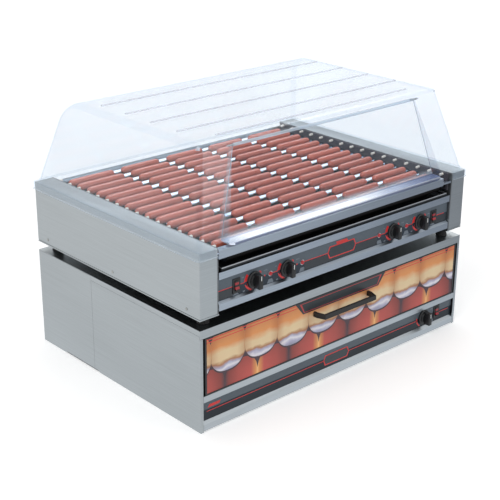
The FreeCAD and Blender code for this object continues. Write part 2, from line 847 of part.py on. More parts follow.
# Front of the grill
def make_grill_front():
    t = sheet_metal
    top = top_rail_top
    low = top_rail_bottom
    deep = front + grill_top_rail_depth
    outline = [
        (front, low), (front, top - bend_radius), (front + bend_radius, top), (deep, top),
        (deep, top - overrun), (deep - t, top - overrun), (deep - t, top - t), (front + t, top - t),
        (front + t, low + t), (front + t + overrun, low + t), (front + t + overrun, low),
    ]
    form = bar("front_top_rail_form", "YZ", outline, -rail_half, rail_half + top_rail_right)
    rail_back = strip_front - seam_gap
    notch = box((-rail_half, seam_gap - strip_inner), (rail_back, deep), (low, top))
    tabs = end_tabs(-rail_half, top_rail_right, (front + t, rail_back), (low + t, low + t + end_tab_height))
    keep("front_top_rail", fuse(cut(form, notch), *tabs))

    outline = fascia_outline(middle_rail_top, panel_top, panel_bottom, ledge_front, grill_rail_bottom)
    fascia = run_x("control_fascia_form", outline, rail_half)
    drilled = cut(fascia, *panel_holes(recess_plane, recess_plane + t, grill_controls()))
    tab_top = tray_shelf - tray_rail_width - seam_gap
    tab_front = recess_plane + t
    tabs = end_tabs(-rail_half, rail_half, (tab_front, tab_front + end_tab_depth), (panel_bottom, tab_top))
    keep("control_fascia", fuse(drilled, *tabs))
    overlay_front = recess_plane - overlay_thickness
    overlay = box((-rail_half, rail_half), (overlay_front, recess_plane), (panel_bottom, panel_top - t))
    keep("control_overlay", cut(overlay, *panel_holes(overlay_front, recess_plane, grill_controls())))


def end_tabs(left, right, y, z):
    """Turned-in ends by which a front rail is fixed to the bearing plates."""
    t = sheet_metal
    return [box((-plate_inner, left + t), y, z), box((right - t, plate_inner), y, z)]


def fascia_outline(top, recess_top, recess_bottom, lip, low):
    """Rail, recess, sloping ledge and lower rail of one folded front, as (y, z) corners."""
    t = sheet_metal
    deep = recess_plane
    return [
        (front + overrun, top), (front, top), (front, recess_top), (deep, recess_top), (deep, recess_bottom),
        (front, lip), (front, low), (front + overrun, low), (front + overrun, low + t), (front + t, low + t),
        (front + t, lip - t / 2), (deep + t, recess_bottom - t / 2), (deep + t, recess_top + t),
        (front + t, recess_top + t), (front + t, top - t), (front + overrun, top - t),
    ]


def grill_controls():
    return {
        "knobs": [(-knob_outer, control_line), (-knob_inner, control_line), (knob_inner, control_line),
                  (knob_outer, control_line)],
        "switches": [(-switch_place, control_line), (switch_place, control_line)],
        "lights": [(-light_outer, control_line), (-light_inner, control_line), (light_inner, control_line),
                   (light_outer, control_line)],
    }


def warmer_controls():
    return {
        "knobs": [(warmer_knob_place, warmer_control_line)],
        "switches": [(warmer_switch_place, warmer_control_line)],
        "lights": [],
    }


def panel_holes(low, high, controls):
    """Cutters for spindles, switches and lamps through a panel between two planes."""
    start = low - overrun / 10
    length = high - low + overrun / 5
    tools = []
    for x, z in controls["knobs"]:
        tools.append(rod("y", spindle_radius + panel_hole_clearance, length, x, start, z))
    for x, z in controls["lights"]:
        tools.append(rod("y", light_radius, length, x, start, z))
    for x, z in controls["switches"]:
        tools.append(box((x - switch_width / 2, x + switch_width / 2), (start, start + length),
                         (z - switch_height / 2, z + switch_height / 2)))
    return tools


def make_rear_panel():
    panel = box((-plate_inner, plate_inner), (back - sheet_metal, back),
                (grill_bottom + pan_edge, grill_bottom + pan_edge + rear_panel_height))
    vents = []
    vent_count = 9
    z = grill_bottom + vent_rise
    for index in range(vent_count):
        x = vent_pitch * (index - (vent_count - 1) / 2)
        vents.append(box((x - vent_length / 2, x + vent_length / 2), (back - overrun, back + overrun),
                         (z - vent_height / 2, z + vent_height / 2)))
    keep("grill_rear_panel", cut(panel, *vents))


# Controls: knobs with their spindles, rockers, lamps, thermostats and switch bodies
def make_knob_form():
    """Bar-grip knob about its own Y axis, its skirt's back face at y = 0."""
    knob = body("knob_form")
    base = sketch(knob, "XZ")
    circle(base, 0, 0, knob_skirt_radius)
    pad(knob, base, knob_skirt_thickness)
    bevel_off(knob, knob_edge, lambda edge: near(edge.CenterOfMass.y, -knob_skirt_thickness))
    hub = sketch(knob, "XZ", knob_skirt_thickness)
    circle(hub, 0, 0, knob_hub_radius)
    pad(knob, hub, knob_hub_thickness)
    grip = sketch(knob, "XZ", knob_skirt_thickness)
    rectangle(grip, (-knob_grip_width / 2, knob_grip_width / 2), (-knob_grip_length / 2, knob_grip_length / 2))
    pad(knob, grip, knob_grip_height)
    grip_top = knob_skirt_thickness + knob_grip_height
    hub_top = knob_skirt_thickness + knob_hub_thickness
    middle = -(grip_top + hub_top) / 2
    bevel_off(knob, knob_edge * 2, lambda edge: along(edge, "y") and near(edge.CenterOfMass.y, middle))
    bevel_off(knob, knob_edge, lambda edge: near(edge.CenterOfMass.y, -grip_top))
    stem = sketch(knob, "XZ", -(recess_to_thermostat() + spindle_reach))
    circle(stem, 0, 0, spindle_radius)
    pad(knob, stem, recess_to_thermostat() + spindle_reach + knob_skirt_thickness)
    return knob


def recess_to_thermostat():
    """From a knob's back face through the overlay and the panel to the thermostat's face."""
    return knob_gap + overlay_thickness + sheet_metal


def make_thermostat_form():
    """Thermostat body behind the panel, its front face at y = 0, bored for the spindle."""
    case = box((-thermostat_width / 2, thermostat_width / 2), (Size(0, "0"), thermostat_depth),
               (-thermostat_width / 2, thermostat_width / 2))
    bore = rod("y", spindle_radius + spindle_clearance, spindle_reach + overrun, 0, -overrun / 2, 0)
    return cut(case, bore)


def make_rocker_form():
    """Rocker with a shallow V front, about the X axis through its pivot."""
    half = switch_height / 2 - switch_bezel - rocker_clearance
    wide = switch_width / 2 - switch_bezel - rocker_clearance
    rise = half * round(math.tan(math.radians(rocker_tilt_degrees)), 6)
    outline = [
        (-rocker_reach - rise, -half), (-rocker_reach, 0), (-rocker_reach - rise, half),
        (rocker_depth / 2, half / 2), (rocker_depth / 2, -half / 2),
    ]
    return bar("rocker_form", "YZ", outline, -wide, wide * 2)


def make_switch_housing_form():
    """Switch body with its bezel, front face of the bezel's flange at y = 0, pivot at the same point."""
    flange = box((-switch_width / 2 - switch_bezel, switch_width / 2 + switch_bezel),
                 (-switch_bezel_thickness, Size(0, "0")),
                 (-switch_height / 2 - switch_bezel, switch_height / 2 + switch_bezel))
    shell = box((-switch_width / 2, switch_width / 2), (-switch_bezel_thickness, switch_depth),
                (-switch_height / 2, switch_height / 2))
    well = box((-switch_width / 2 + switch_bezel, switch_width / 2 - switch_bezel),
               (-switch_bezel_thickness - overrun, switch_depth - switch_bezel),
               (-switch_height / 2 + switch_bezel, switch_height / 2 - switch_bezel))
    return cut(fuse(flange, shell), well)


def make_controls():
    face = recess_plane - overlay_thickness
    knob = make_knob_form()
    thermostat = make_thermostat_form()
    rocker = make_rocker_form()
    housing = make_switch_housing_form()
    thermostats = []
    housings = []
    grill = grill_controls()
    warmer = warmer_controls()
    for index, (x, z) in enumerate(grill["knobs"]):
        keep(f"grill_knob_{index + 1}", copy_of(knob, x, face - knob_gap, z))
    x, z = warmer["knobs"][0]
    keep("warmer_knob", copy_of(knob, x, face - knob_gap, z))
    for x, z in grill["knobs"] + warmer["knobs"]:
        thermostats.append(copy_of(thermostat, x, recess_plane + sheet_metal, z))
    keep("thermostats", group(*thermostats))
    names = ("grill_switch_left", "grill_switch_right", "warmer_switch")
    tilt = FreeCAD.Rotation(V(1, 0, 0), -rocker_tilt_degrees)
    for name, (x, z) in zip(names, grill["switches"] + warmer["switches"]):
        keep(name, copy_of(rocker, x, face, z, tilt))
        housings.append(copy_of(housing, x, face, z))
    keep("switch_housings", group(*housings))
    lamps = []
    for x, z in grill["lights"]:
        lens = rod("y", light_radius, light_lens_height + light_body_length, x, face - light_lens_height, z)
        lamps.append(lens)
    keep("indicator_lights", group(*lamps))


# Feet between the two units, and the screws of the end housings
def make_feet():
    foot = body("foot_form")
    profile = sketch(foot, "XZ")
    polygon(
        profile,
        [
            (0, 0), (foot_radius - knob_edge, 0), (foot_radius, knob_edge), (foot_waist_radius, foot_height / 2),
            (foot_radius, foot_height - knob_edge), (foot_radius - knob_edge, foot_height), (0, foot_height),
        ],
    )
    turn(foot, profile, "V_Axis")
    feet = []
    for side in (-1, 1):
        for end in (-1, 1):
            x = (half_width - foot_inset_side) * side
            feet.append(copy_of(foot, x, (back - foot_inset_front) * end, warmer_height))
    keep("grill_feet", group(*feet))


def make_screws():
    screws = []
    turned = FreeCAD.Rotation(V(0, 0, 1), 180)
    screw = body("screw_form")
    profile = sketch(screw, "XZ")
    polygon(
        profile,
        [
            (-screw_head_height, 0), (-screw_head_height, screw_radius / 2), (-screw_head_height / 2, screw_radius),
            (0, screw_radius), (0, screw_shank_radius), (screw_length, screw_shank_radius), (screw_length, 0),
        ],
    )
    turn(screw, profile)
    for index in (-1, 0, 1):
        y = screw_spacing * index
        z = grill_bottom + screw_height
        screws.append(copy_of(screw, -half_width, y, z))
        screws.append(copy_of(screw, half_width, y, z, turned))
    keep("housing_screws", group(*screws))


# Hood: thermoformed clear shell with a flanged rim, raised ribs and a front door
def rounded_rectangle(x, low, high, z, radius):
    """A wire with arcs at its corners, from numbers."""
    corners = [(-x, low), (x, low), (x, high), (-x, high)]
    wire = Part.makePolygon([V(a, b, z) for a, b in corners] + [V(*corners[0], z)])
    face = Part.Face(wire)
    solid = face.extrude(V(0, 0, radius))
    upright = [edge for edge in solid.Edges if along(edge, "z")]
    rounded = solid.makeFillet(radius, upright)
    base = [item for item in rounded.Faces if abs(item.CenterOfMass.z - z) < radius / 100]
    return base[0].OuterWire


def hood_skin(offset):
    """One skin of the hood: four leaning walls and a top, moved inwards by an offset, its edges rounded."""
    low = number(hood_seat)
    high = number(hood_top) - offset
    share = (high - low) / number(hood_top - hood_seat)
    base_x = number(half_width - hood_base_inset) - offset
    base_y = number(back - hood_base_inset) - offset
    top_x = base_x - number(hood_side_lean) * share
    front_top = base_y - number(hood_front_lean) * share
    back_top = base_y - number(hood_back_lean) * share
    wedge = Part.makeWedge(-base_x, low, -base_y, -back_top, -top_x, base_x, high, base_y, front_top, top_x)
    wedge.rotate(V(), V(1, 0, 0), 90)
    form = doc.addObject("Part::Feature", "hood_form")
    form.Shape = wedge
    corner = number(hood_corner_radius) - offset
    rows = []
    for index, edge in enumerate(form.Shape.Edges):
        middle = edge.CenterOfMass
        radius = corner
        if edge.BoundBox.ZMin > high - corner:
            if near(middle.y, 0) or abs(middle.x) > base_x / 2:
                radius = number(hood_side_edge) - offset
            elif middle.y > 0:
                radius = number(hood_rear_edge) - offset
        if edge.BoundBox.ZMax > low + corner:
            rows.append((index + 1, radius, radius))
    skin = doc.addObject("Part::Fillet", "hood_skin")
    skin.Base = form
    skin.Edges = rows
    doc.recompute()
    return skin.Shape.copy()


def front_plane_at(z):
    """Depth of the hood's front wall, as a number, at a height."""
    share = (z - number(hood_seat)) / number(hood_top - hood_seat)
    return number(front + hood_base_inset) + number(hood_front_lean) * share


def door_plane_at(z):
    """Depth of the door's front face at a height: level with the wall at its hinge, set back below."""
    top = number(hinge_line)
    low = number(hood_seat)
    depth = number(door_inset_bottom) * (top - z) / (top - low)
    return front_plane_at(z) + depth


def door_half_at(z):
    """Half width of the door at a height."""
    share = (z - number(hood_seat)) / number(hinge_line - hood_seat)
    return number(door_bottom_half) + (number(door_top_half) - number(door_bottom_half)) * share


def make_hood():
    doc.recompute()
    wall = number(hood_wall)
    outer = hood_skin(0)
    inner = hood_skin(wall)
    seat = number(hood_seat)
    extra = number(overrun)
    top = number(hinge_line)
    gap = number(door_gap)

    rim_x = number(half_width + hood_overhang)
    rim_y = number(back + hood_overhang)
    skirt_bottom = number(grill_top - hood_skirt_drop)
    rim = Part.Face(rounded_rectangle(rim_x, -rim_y, rim_y, skirt_bottom, number(hood_flange_corner)))
    rim = rim.extrude(V(0, 0, seat + wall - skirt_bottom))
    crown = [item for item in rim.Edges if abs(item.CenterOfMass.z - seat - wall) < wall / 100]
    rim = rim.makeFillet(number(hood_rim_round), crown)
    pit = Part.Face(rounded_rectangle(rim_x - wall, -rim_y + wall, rim_y - wall, skirt_bottom - extra,
                                      number(hood_flange_corner) - wall))
    rim = rim.cut(pit.extrude(V(0, 0, seat - skirt_bottom + extra)))
    shell = outer.fuse(rim).cut(inner)
    well = Part.Face(rounded_rectangle(number(half_width - hood_base_inset) - wall,
                                       -number(back - hood_base_inset) + wall,
                                       number(back - hood_base_inset) - wall, seat - extra,
                                       number(hood_corner_radius) - wall))
    shell = shell.cut(well.extrude(V(0, 0, extra + wall / 10)))

    rib = number(hood_rib_radius)
    rib_half = number(half_width - hood_base_inset - hood_side_lean - hood_rib_inset)
    lines = [(-number(hood_front_rib_line), number(hood_front_rib_half))]
    for index in range(hood_rib_count):
        lines.append((number(hood_rib_pitch) * (index - (hood_rib_count - 1) / 2), rib_half))
    rib_low = number(hood_top) - wall / 2
    for y, half in lines:
        core = Part.makeCylinder(rib, half * 2, V(-half, y, 0), V(1, 0, 0))
        core.translate(V(0, 0, number(hood_top) + number(hood_rib_rise) - rib))
        cap = Part.makeBox(number(case_width), rib * 2, rib * 2, V(-number(half_width), y - rib, rib_low))
        shell = shell.fuse(core.common(cap))

    front_y = number(front) - number(overrun) * 3
    low_half = door_half_at(seat) + gap
    top_half = door_half_at(top) + gap
    deep = number(hood_front_lean) + number(overrun) * 6
    head = top + number(hinge_ear_radius) + number(hinge_head_gap)
    sill = seat - extra
    corners = [V(-low_half, front_y, sill), V(low_half, front_y, sill), V(low_half, front_y, seat),
               V(top_half, front_y, top), V(top_half, front_y, head), V(-top_half, front_y, head),
               V(-top_half, front_y, top), V(-low_half, front_y, seat), V(-low_half, front_y, sill)]
    opening = Part.Face(Part.makePolygon(corners)).extrude(V(0, deep, 0))
    cut_half = number(hood_front_cut_half)
    cut_height = number(hood_skirt_drop) + wall + extra * 2
    corner = V(-cut_half, -rim_y - extra, skirt_bottom - extra)
    shell = shell.cut(Part.makeBox(cut_half * 2, extra * 4, cut_height, corner))
    shell = shell.cut(opening)

    ear_y = door_plane_at(top) + wall / 2
    ear_length = number(hinge_ear_length)
    pin_hole = number(hinge_pin_radius) + number(hinge_clearance)
    for side in (-1, 1):
        outline = []
        for z in (seat, top):
            outline.append(V(side * (door_half_at(z) + gap), front_plane_at(z) + number(door_cheek_lap), z))
        for z in (top, seat):
            outline.append(V(side * (door_half_at(z) + gap), door_plane_at(z) + number(door_cheek_depth), z))
        face = Part.Face(Part.makePolygon(outline + outline[:1]))
        shell = shell.fuse(face.extrude(V(side * number(door_cheek), 0, 0)))
        outward = V(side, 0, 0)
        ear_x = door_half_at(top) + gap
        ear = Part.makeCylinder(number(hinge_ear_radius), ear_length, V(side * ear_x, ear_y, top), outward)
        shell = shell.fuse(ear)
        bore_start = V(side * (ear_x - extra), ear_y, top)
        shell = shell.cut(Part.makeCylinder(pin_hole, ear_length + extra * 2, bore_start, outward))
    shell = shell.removeSplitter()
    hood = doc.addObject("Part::Feature", "hood")
    hood.Shape = shell
    keep("hood", hood)
    make_door()


def make_door():
    """Clear door: leaning panel, bead along its sides, hinge barrel and forward lip."""
    wall = number(hood_wall)
    top = number(hinge_line)
    low = number(hood_seat)
    radius = number(hinge_ear_radius)
    axis_y = door_plane_at(top) + wall / 2
    outline = []
    for z, side in ((low, -1), (low, 1), (top, 1), (top, -1)):
        outline.append(V(side * door_half_at(z), door_plane_at(z), z))
    face = Part.Face(Part.makePolygon(outline + outline[:1]))
    panel = face.extrude(V(0, wall, 0))
    barrel_half = number(door_top_half)
    barrel = Part.makeCylinder(radius, barrel_half * 2, V(-barrel_half, axis_y, top), V(1, 0, 0))
    half = door_half_at(low)
    lip_y = door_plane_at(low)
    rise = number(door_lip_rise)
    bevel = number(door_lip_bevel)
    depth = number(door_lip_depth)
    lip_low = low - number(top_rail_drop) + rise
    lip_front = lip_y - depth
    corners = [(-half, lip_y + wall), (half, lip_y + wall), (half, lip_front + bevel), (half - bevel, lip_front),
               (-half + bevel, lip_front), (-half, lip_front + bevel), (-half, lip_y + wall)]
    lip = Part.Face(Part.makePolygon([V(x, y, lip_low) for x, y in corners])).extrude(V(0, 0, wall))
    skirt = Part.makeBox(half * 2, wall, low - lip_low, V(-half, lip_y, lip_low))
    edge_bar = Part.makeBox((half - bevel) * 2, wall, number(door_bead), V(-half + bevel, lip_front, lip_low))
    door = panel.fuse([barrel, lip, skirt, edge_bar]).removeSplitter()
    pins = []
    pin_depth = number(overrun) * 2
    pin_length = pin_depth + number(door_gap) + number(hinge_ear_length)
    for side in (-1, 1):
        start = V(side * (barrel_half - pin_depth), axis_y, top)
        pin = Part.makeCylinder(number(hinge_pin_radius), pin_length, start, V(side, 0, 0))
        door = door.cut(pin)
        pins.append(pin)
    thing = doc.addObject("Part::Feature", "hood_door")
    thing.Shape = door
    keep("hood_door", thing)
    thing = doc.addObject("Part::Feature", "door_hinge_pins")
    thing.Shape = Part.makeCompound(pins)
    keep("door_hinge_pins", thing)


# Warmer cabinet
def make_cabinet():
    t = sheet_metal
    cover_top = box((-half_width, half_width), (front, back), (warmer_height - t, warmer_height))
    rail = box((-half_width, half_width), (front, front + t), (warmer_height - top_rail_height, warmer_height))
    sides = [
        box((-half_width, -cabinet_inner), (front, side_seam_back), (warmer_height - top_flange_height, warmer_height)),
        box((cabinet_inner, half_width), (front, side_seam_back), (warmer_height - top_flange_height, warmer_height)),
    ]
    keep("warmer_top_cover", fuse(cover_top, rail, *sides))

    panel_top_line = warmer_height - top_flange_height - seam_gap
    rail_low = warmer_height - top_rail_height - seam_gap
    behind_rail = front + t + seam_gap
    outline = sketch_side([(front, 0), (notch_front, 0), (notch_front + notch_slope, notch_height),
                           (side_seam_back, notch_height), (side_seam_back, panel_top_line),
                           (behind_rail, panel_top_line), (behind_rail, rail_low), (front, rail_low)])
    lip = box((-half_width, -half_width + side_return), (front, front + t), (Size(0, "0"), rail_low))
    left = fuse(outline, lip)
    keep("warmer_side_panels", group(left, mirrored(left)))

    seam = side_seam_back + seam_gap
    rear_top = warmer_height - t - seam_gap
    wrap_side = sketch_side([(seam, notch_height), (notch_back - notch_slope, notch_height), (notch_back, 0),
                             (back, 0), (back, rear_top), (seam, rear_top)])
    rear = box((-half_width, half_width), (back - t, back), (Size(0, "0"), rear_top))
    keep("warmer_rear_wrap", fuse(wrap_side, mirrored(wrap_side), rear))

    inset = warmer_base_inset
    base_half = cabinet_inner - seam_gap
    base = box((-base_half, base_half), (front + inset, back - t - seam_gap), (Size(0, "0"), t * 2))
    keep("warmer_base", base)


def sketch_side(points):
    """Left side sheet of the cabinet, from its outline in the YZ plane."""
    return bar("side_sheet", "YZ", points, -half_width, sheet_metal)


def make_warmer_front():
    t = sheet_metal
    half = half_width - side_return - seam_gap
    top = warmer_middle_rail_top
    recess_top = top - warmer_middle_rail_height
    low = t * 2 + seam_gap
    outline = fascia_outline(top, recess_top, warmer_ledge_top, warmer_bottom_rail_height, low)
    fascia = run_x("warmer_fascia_form", outline, half)
    keep("warmer_fascia", cut(fascia, *panel_holes(recess_plane, recess_plane + t, warmer_controls())))
    overlay_front = recess_plane - overlay_thickness
    overlay = box((-half, half), (overlay_front, recess_plane), (warmer_ledge_top, recess_top - t))
    keep("warmer_overlay", cut(overlay, *panel_holes(overlay_front, recess_plane, warmer_controls())))


def make_drawer():
    t = sheet_metal
    face = box((-drawer_half_width, drawer_half_width), (front, drawer_pan_front), (drawer_bottom, drawer_top))
    recess = box(
        (-drawer_half_width + drawer_border, drawer_half_width - drawer_border),
        (front - overrun, front + drawer_panel_recess),
        (drawer_bottom + drawer_border / 2, drawer_top - drawer_border / 2),
    )
    keep("drawer_front", cut(face, recess))

    pan_front = drawer_pan_front
    shell = box((-drawer_pan_half_width, drawer_pan_half_width), (pan_front, drawer_pan_back),
                (drawer_pan_floor, drawer_pan_floor + drawer_pan_height))
    hollow = box(
        (-drawer_pan_half_width + t, drawer_pan_half_width - t),
        (pan_front + t, drawer_pan_back - t),
        (drawer_pan_floor + t, drawer_pan_floor + drawer_pan_height + overrun),
    )
    keep("drawer_pan", cut(shell, hollow))

    # The runner bars are bolted to the pan and ride inside the cabinet's channels
    low = rail_line - rail_height / 2
    high = rail_line + rail_height / 2
    w = rail_wall
    x_out = drawer_half_width - runner_inset
    x_in = drawer_pan_half_width + runner_gap * 4
    outline = [
        (-x_out, low), (-x_in, low), (-x_in, low + w), (-x_out + w, low + w),
        (-x_out + w, high - w), (-x_in, high - w), (-x_in, high), (-x_out, high),
    ]
    rail_start = pan_front + overrun
    rail = bar("drawer_rail_form", "XZ", outline, -rail_start - rail_length, rail_length)
    brackets = []
    for start in (rail_start, rail_start + rail_length - rail_bracket_length):
        brackets.append(box((-cabinet_inner, -x_out), (start, start + rail_bracket_length), (low, high)))
    carried = fuse(rail, *brackets)
    keep("drawer_rails", group(carried, mirrored(carried)))
    runner_low = low + w + runner_gap
    runner = box((-x_out + w + runner_gap, -drawer_pan_half_width), (rail_start, rail_start + rail_length),
                 (runner_low, runner_low + runner_height))
    keep("drawer_runners", group(runner, mirrored(runner)))
    make_handle()


def make_handle():
    """Bow handle: two feet on the drawer and a bar that stands clear of it."""
    owner = body("handle_form")
    reach = handle_reach
    t = handle_thickness
    wide = handle_half + handle_width / 2
    drawing = sketch(owner, "XY", handle_line - handle_width / 2)
    face = front + drawer_panel_recess
    bow = reach / 2
    polygon(
        drawing,
        [
            (-wide, face), (-wide, face - reach / 3), (-wide + bow / 2, face - reach),
            (wide - bow / 2, face - reach),
            (wide, face - reach / 3), (wide, face), (wide - t, face), (wide - t, face - reach / 3 + t / 3),
            (wide - bow / 2 - t / 2, face - reach + t), (-wide + bow / 2 + t / 2, face - reach + t),
            (-wide + t, face - reach / 3 + t / 3), (-wide + t, face),
        ],
    )
    pad(owner, drawing, handle_width)
    round_off(owner, knob_edge, lambda edge: not along(edge, "z") and not near(edge.CenterOfMass.y, face))
    keep("drawer_handle", owner)


def make_warmer_heater():
    """Two flat strip heaters on clips that stand on the cabinet's base."""
    base = sheet_metal * 2
    half = half_width - heater_strip_inset
    low = base + heater_strip_rise
    pieces = []
    for end in (-1, 1):
        y = heater_strip_spacing / 2 * end
        pieces.append(box((-half, half), (y - heater_strip_width / 2, y + heater_strip_width / 2),
                          (low, low + heater_strip_thickness)))
        for side in (-1, 1):
            x = (half - clip_inset) * side
            pieces.append(box((x - clip_width / 2, x + clip_width / 2),
                              (y - clip_width / 2, y + clip_width / 2), (base, low)))
    keep("warmer_heater", group(*pieces))


doc.recompute()
make_base_pan()
make_end_housing()
make_bearing_plates()
make_bearing_strips()
make_rollers()
make_drive()
make_heaters()
make_frankfurters()
make_drip_tray()
make_grill_front()
make_rear_panel()
make_controls()
make_feet()
make_screws()
make_hood()
make_cabinet()
make_warmer_front()
make_drawer()
make_warmer_heater()
doc.recompute()


def check_document():
    """Stop if any feature failed or a finished shape is missing or invalid."""
    for item in doc.Objects:
        if "Invalid" in item.State or "Error" in item.State:
            raise RuntimeError(f"{item.Name} ({item.Label}) failed: {item.State}")
    for label, item in nodes.items():
        shape = item.Shape
        if shape.isNull() or not shape.isValid() or not shape.Solids:
            raise RuntimeError(f"{label} has no valid solid")


def export_parts():
    os.makedirs("parts", exist_ok=True)
    for label, item in nodes.items():
        item.Shape.exportStep(os.path.join("parts", f"{label}.step"))


check_document()
export_parts()
print(len(nodes), "sub-parts,", sum(len(item.Shape.Solids) for item in nodes.values()), "solids")
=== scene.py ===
"""Looks of a hot dog roller grill with a clear hood, standing on a bun warmer cabinet with one drawer."""
import json
import math
import random

import bmesh
import bpy
from mathutils import Matrix, Vector

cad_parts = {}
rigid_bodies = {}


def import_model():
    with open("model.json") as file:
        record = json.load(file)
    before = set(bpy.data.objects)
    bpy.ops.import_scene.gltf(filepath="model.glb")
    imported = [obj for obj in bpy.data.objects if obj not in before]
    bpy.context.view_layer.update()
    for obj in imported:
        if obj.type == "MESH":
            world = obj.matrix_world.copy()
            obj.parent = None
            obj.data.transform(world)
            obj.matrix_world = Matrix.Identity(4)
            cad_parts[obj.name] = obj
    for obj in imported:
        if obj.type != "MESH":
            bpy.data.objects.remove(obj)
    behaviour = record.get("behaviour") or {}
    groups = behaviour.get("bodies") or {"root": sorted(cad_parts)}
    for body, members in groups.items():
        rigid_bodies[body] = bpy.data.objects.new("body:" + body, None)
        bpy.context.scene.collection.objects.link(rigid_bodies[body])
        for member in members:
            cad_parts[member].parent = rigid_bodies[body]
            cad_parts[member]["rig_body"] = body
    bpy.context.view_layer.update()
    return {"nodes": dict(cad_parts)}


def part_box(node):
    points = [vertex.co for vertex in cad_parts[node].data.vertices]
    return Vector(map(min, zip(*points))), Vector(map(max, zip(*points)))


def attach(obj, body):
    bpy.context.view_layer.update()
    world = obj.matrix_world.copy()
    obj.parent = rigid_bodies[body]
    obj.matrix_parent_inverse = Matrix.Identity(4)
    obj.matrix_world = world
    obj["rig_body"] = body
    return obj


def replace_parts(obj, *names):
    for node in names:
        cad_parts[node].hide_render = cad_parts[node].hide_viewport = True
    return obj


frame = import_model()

bl_info = {
    "name": "Roller grill looks",
    "version": (1, 0, 0),
    "blender": (4, 5, 0),
    "location": "3D View > Sidebar > Roller grill",
    "description": "Dresses a roller grill and bun warmer: steel, clear hood, controls, drawer and food",
    "category": "Object",
}

MM = 0.001
# Vertices closer than this are one; those of the CAD pieces are rounded, so they get more
WELD = 1e-7
CAD_WELD = 1e-6
WHITE = (1, 1, 1, 1)
TINTED = {"data_type": "RGBA", "blend_type": "MULTIPLY"}


# Colours and small tools


def linear(code):
    """Linear RGBA of an sRGB hex colour."""
    channels = []
    for start in (1, 3, 5):
        value = int(code[start:start + 2], 16) / 255
        channels.append(value / 12.92 if value <= 0.04045 else ((value + 0.055) / 1.055) ** 2.4)
    return (*channels, 1.0)


def shade(rgba, factor):
    """A colour made darker or lighter."""
    return (*(channel * factor for channel in rgba[:3]), 1.0)


def colour(code, label):
    """A colour that the user may change."""
    return bpy.props.FloatVectorProperty(
        name=label, description=f"Colour of the {label.lower()}", subtype="COLOR", size=4,
        min=0.0, max=1.0, default=linear(code))


def length(millimetres, label):
    """A length that the user may change."""
    return bpy.props.FloatProperty(
        name=label, description=f"{label} in metres", unit="LENGTH", subtype="DISTANCE",
        default=millimetres * MM)


def low(node):
    """Corner of a piece's box with its lowest values."""
    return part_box(node)[0]


def high(node):
    """Corner of a piece's box with its highest values."""
    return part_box(node)[1]


def centre(node):
    """Middle of a piece's box."""
    return (low(node) + high(node)) / 2


def half_height(node):
    """Half the height of a piece's box."""
    return (high(node).z - low(node).z) / 2


def body_of(node):
    """Body that a CAD piece belongs to."""
    return frame["nodes"][node]["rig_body"]


def feed(tree, item, **inputs):
    """Set or link a node's inputs, each by its name with _ for a space, or by n and its number.

    A node given as an input stands for its first output in use.
    """
    for key, value in inputs.items():
        numbered = key[0] == "n" and key[1:].isdigit()
        socket = item.inputs[int(key[1:]) if numbered else key.replace("_", " ")]
        if isinstance(value, bpy.types.Node):
            value = next(output for output in value.outputs if output.enabled)
        if isinstance(value, bpy.types.NodeSocket):
            tree.links.new(value, socket)
        else:
            socket.default_value = value


def add(tree, kind, settings=None, stops=(), **inputs):
    """Add one shader node with its plain settings, the (place, colour) stops of its ramp and its inputs."""
    item = tree.nodes.new(f"ShaderNode{kind}")
    for key, value in (settings or {}).items():
        setattr(item, key, value)
    if stops:
        band = item.color_ramp.elements
        while len(band) < len(stops):
            band.new(0.5)
        for element, (place, tone) in zip(band, stops):
            element.position = place
            element.color = tone
    feed(tree, item, **inputs)
    return item


def seen_directly(tree, path):
    """A node that is 1 for what the camera sees, also through clear sheet, and 0 for the rest."""
    return add(tree, "Math", {"operation": "MAXIMUM"},
               n0=path["Is Camera Ray"], n1=path["Is Transmission Ray"])


def new_material(name):
    """A material with its node tree, its shader and its object coordinates."""
    material = bpy.data.materials.new(name)
    material.use_nodes = True
    tree = material.node_tree
    return material, tree, tree.nodes["Principled BSDF"], add(tree, "TexCoord").outputs["Object"]


# Materials


def brushed_stainless(name, rgba, roughness, grain=1400):
    """Stainless sheet with a dry-brushed finish: soft, slightly streaked reflections along the grain.

    grain is the number of grit lines to the metre: 1400 are 0.7 mm apart, twice as coarse as real ones,
    because those are too fine to show.
    """
    material, tree, shader, place = new_material(name)
    upright = add(tree, "Mapping", Vector=place, Scale=(6, 6, grain))
    level = add(tree, "Mapping", Vector=place, Scale=(6, grain, 6))
    normal = add(tree, "SeparateXYZ", Vector=add(tree, "TexCoord").outputs["Normal"])
    facing_up = add(tree, "Math", {"operation": "ABSOLUTE"}, n0=normal.outputs["Z"])
    flat = add(tree, "Math", {"operation": "GREATER_THAN"}, n0=facing_up, n1=0.7)
    along = add(tree, "Mix", {"data_type": "VECTOR"}, n0=flat, n4=upright, n5=level)
    lines = add(tree, "TexNoise", Vector=along, Scale=1.0, Detail=3.0, Roughness=0.6)
    # The sheet's own unevenness, a few hundred millimetres from cloud to cloud
    wide = add(tree, "Mapping", Vector=place, Scale=(1.5, 1.5, 5))
    cloud = add(tree, "TexNoise", Vector=wide, Scale=1.0, Detail=2.0)
    tone = add(tree, "ValToRGB", stops=[(0.25, shade(rgba, 0.86)), (0.75, shade(rgba, 1.1))], Fac=lines)
    drift = add(tree, "ValToRGB", stops=[(0.3, shade(WHITE, 0.93)), (0.7, WHITE)], Fac=cloud)
    feed(tree, shader, Metallic=1.0, Anisotropic=0.4,
         Base_Color=add(tree, "Mix", TINTED, n0=1.0, n6=tone, n7=drift),
         Roughness=add(tree, "MapRange", Value=lines, To_Min=roughness - 0.07, To_Max=roughness + 0.07),
         Normal=add(tree, "Bump", Height=lines, Strength=0.12, Distance=0.2 * MM))
    return material


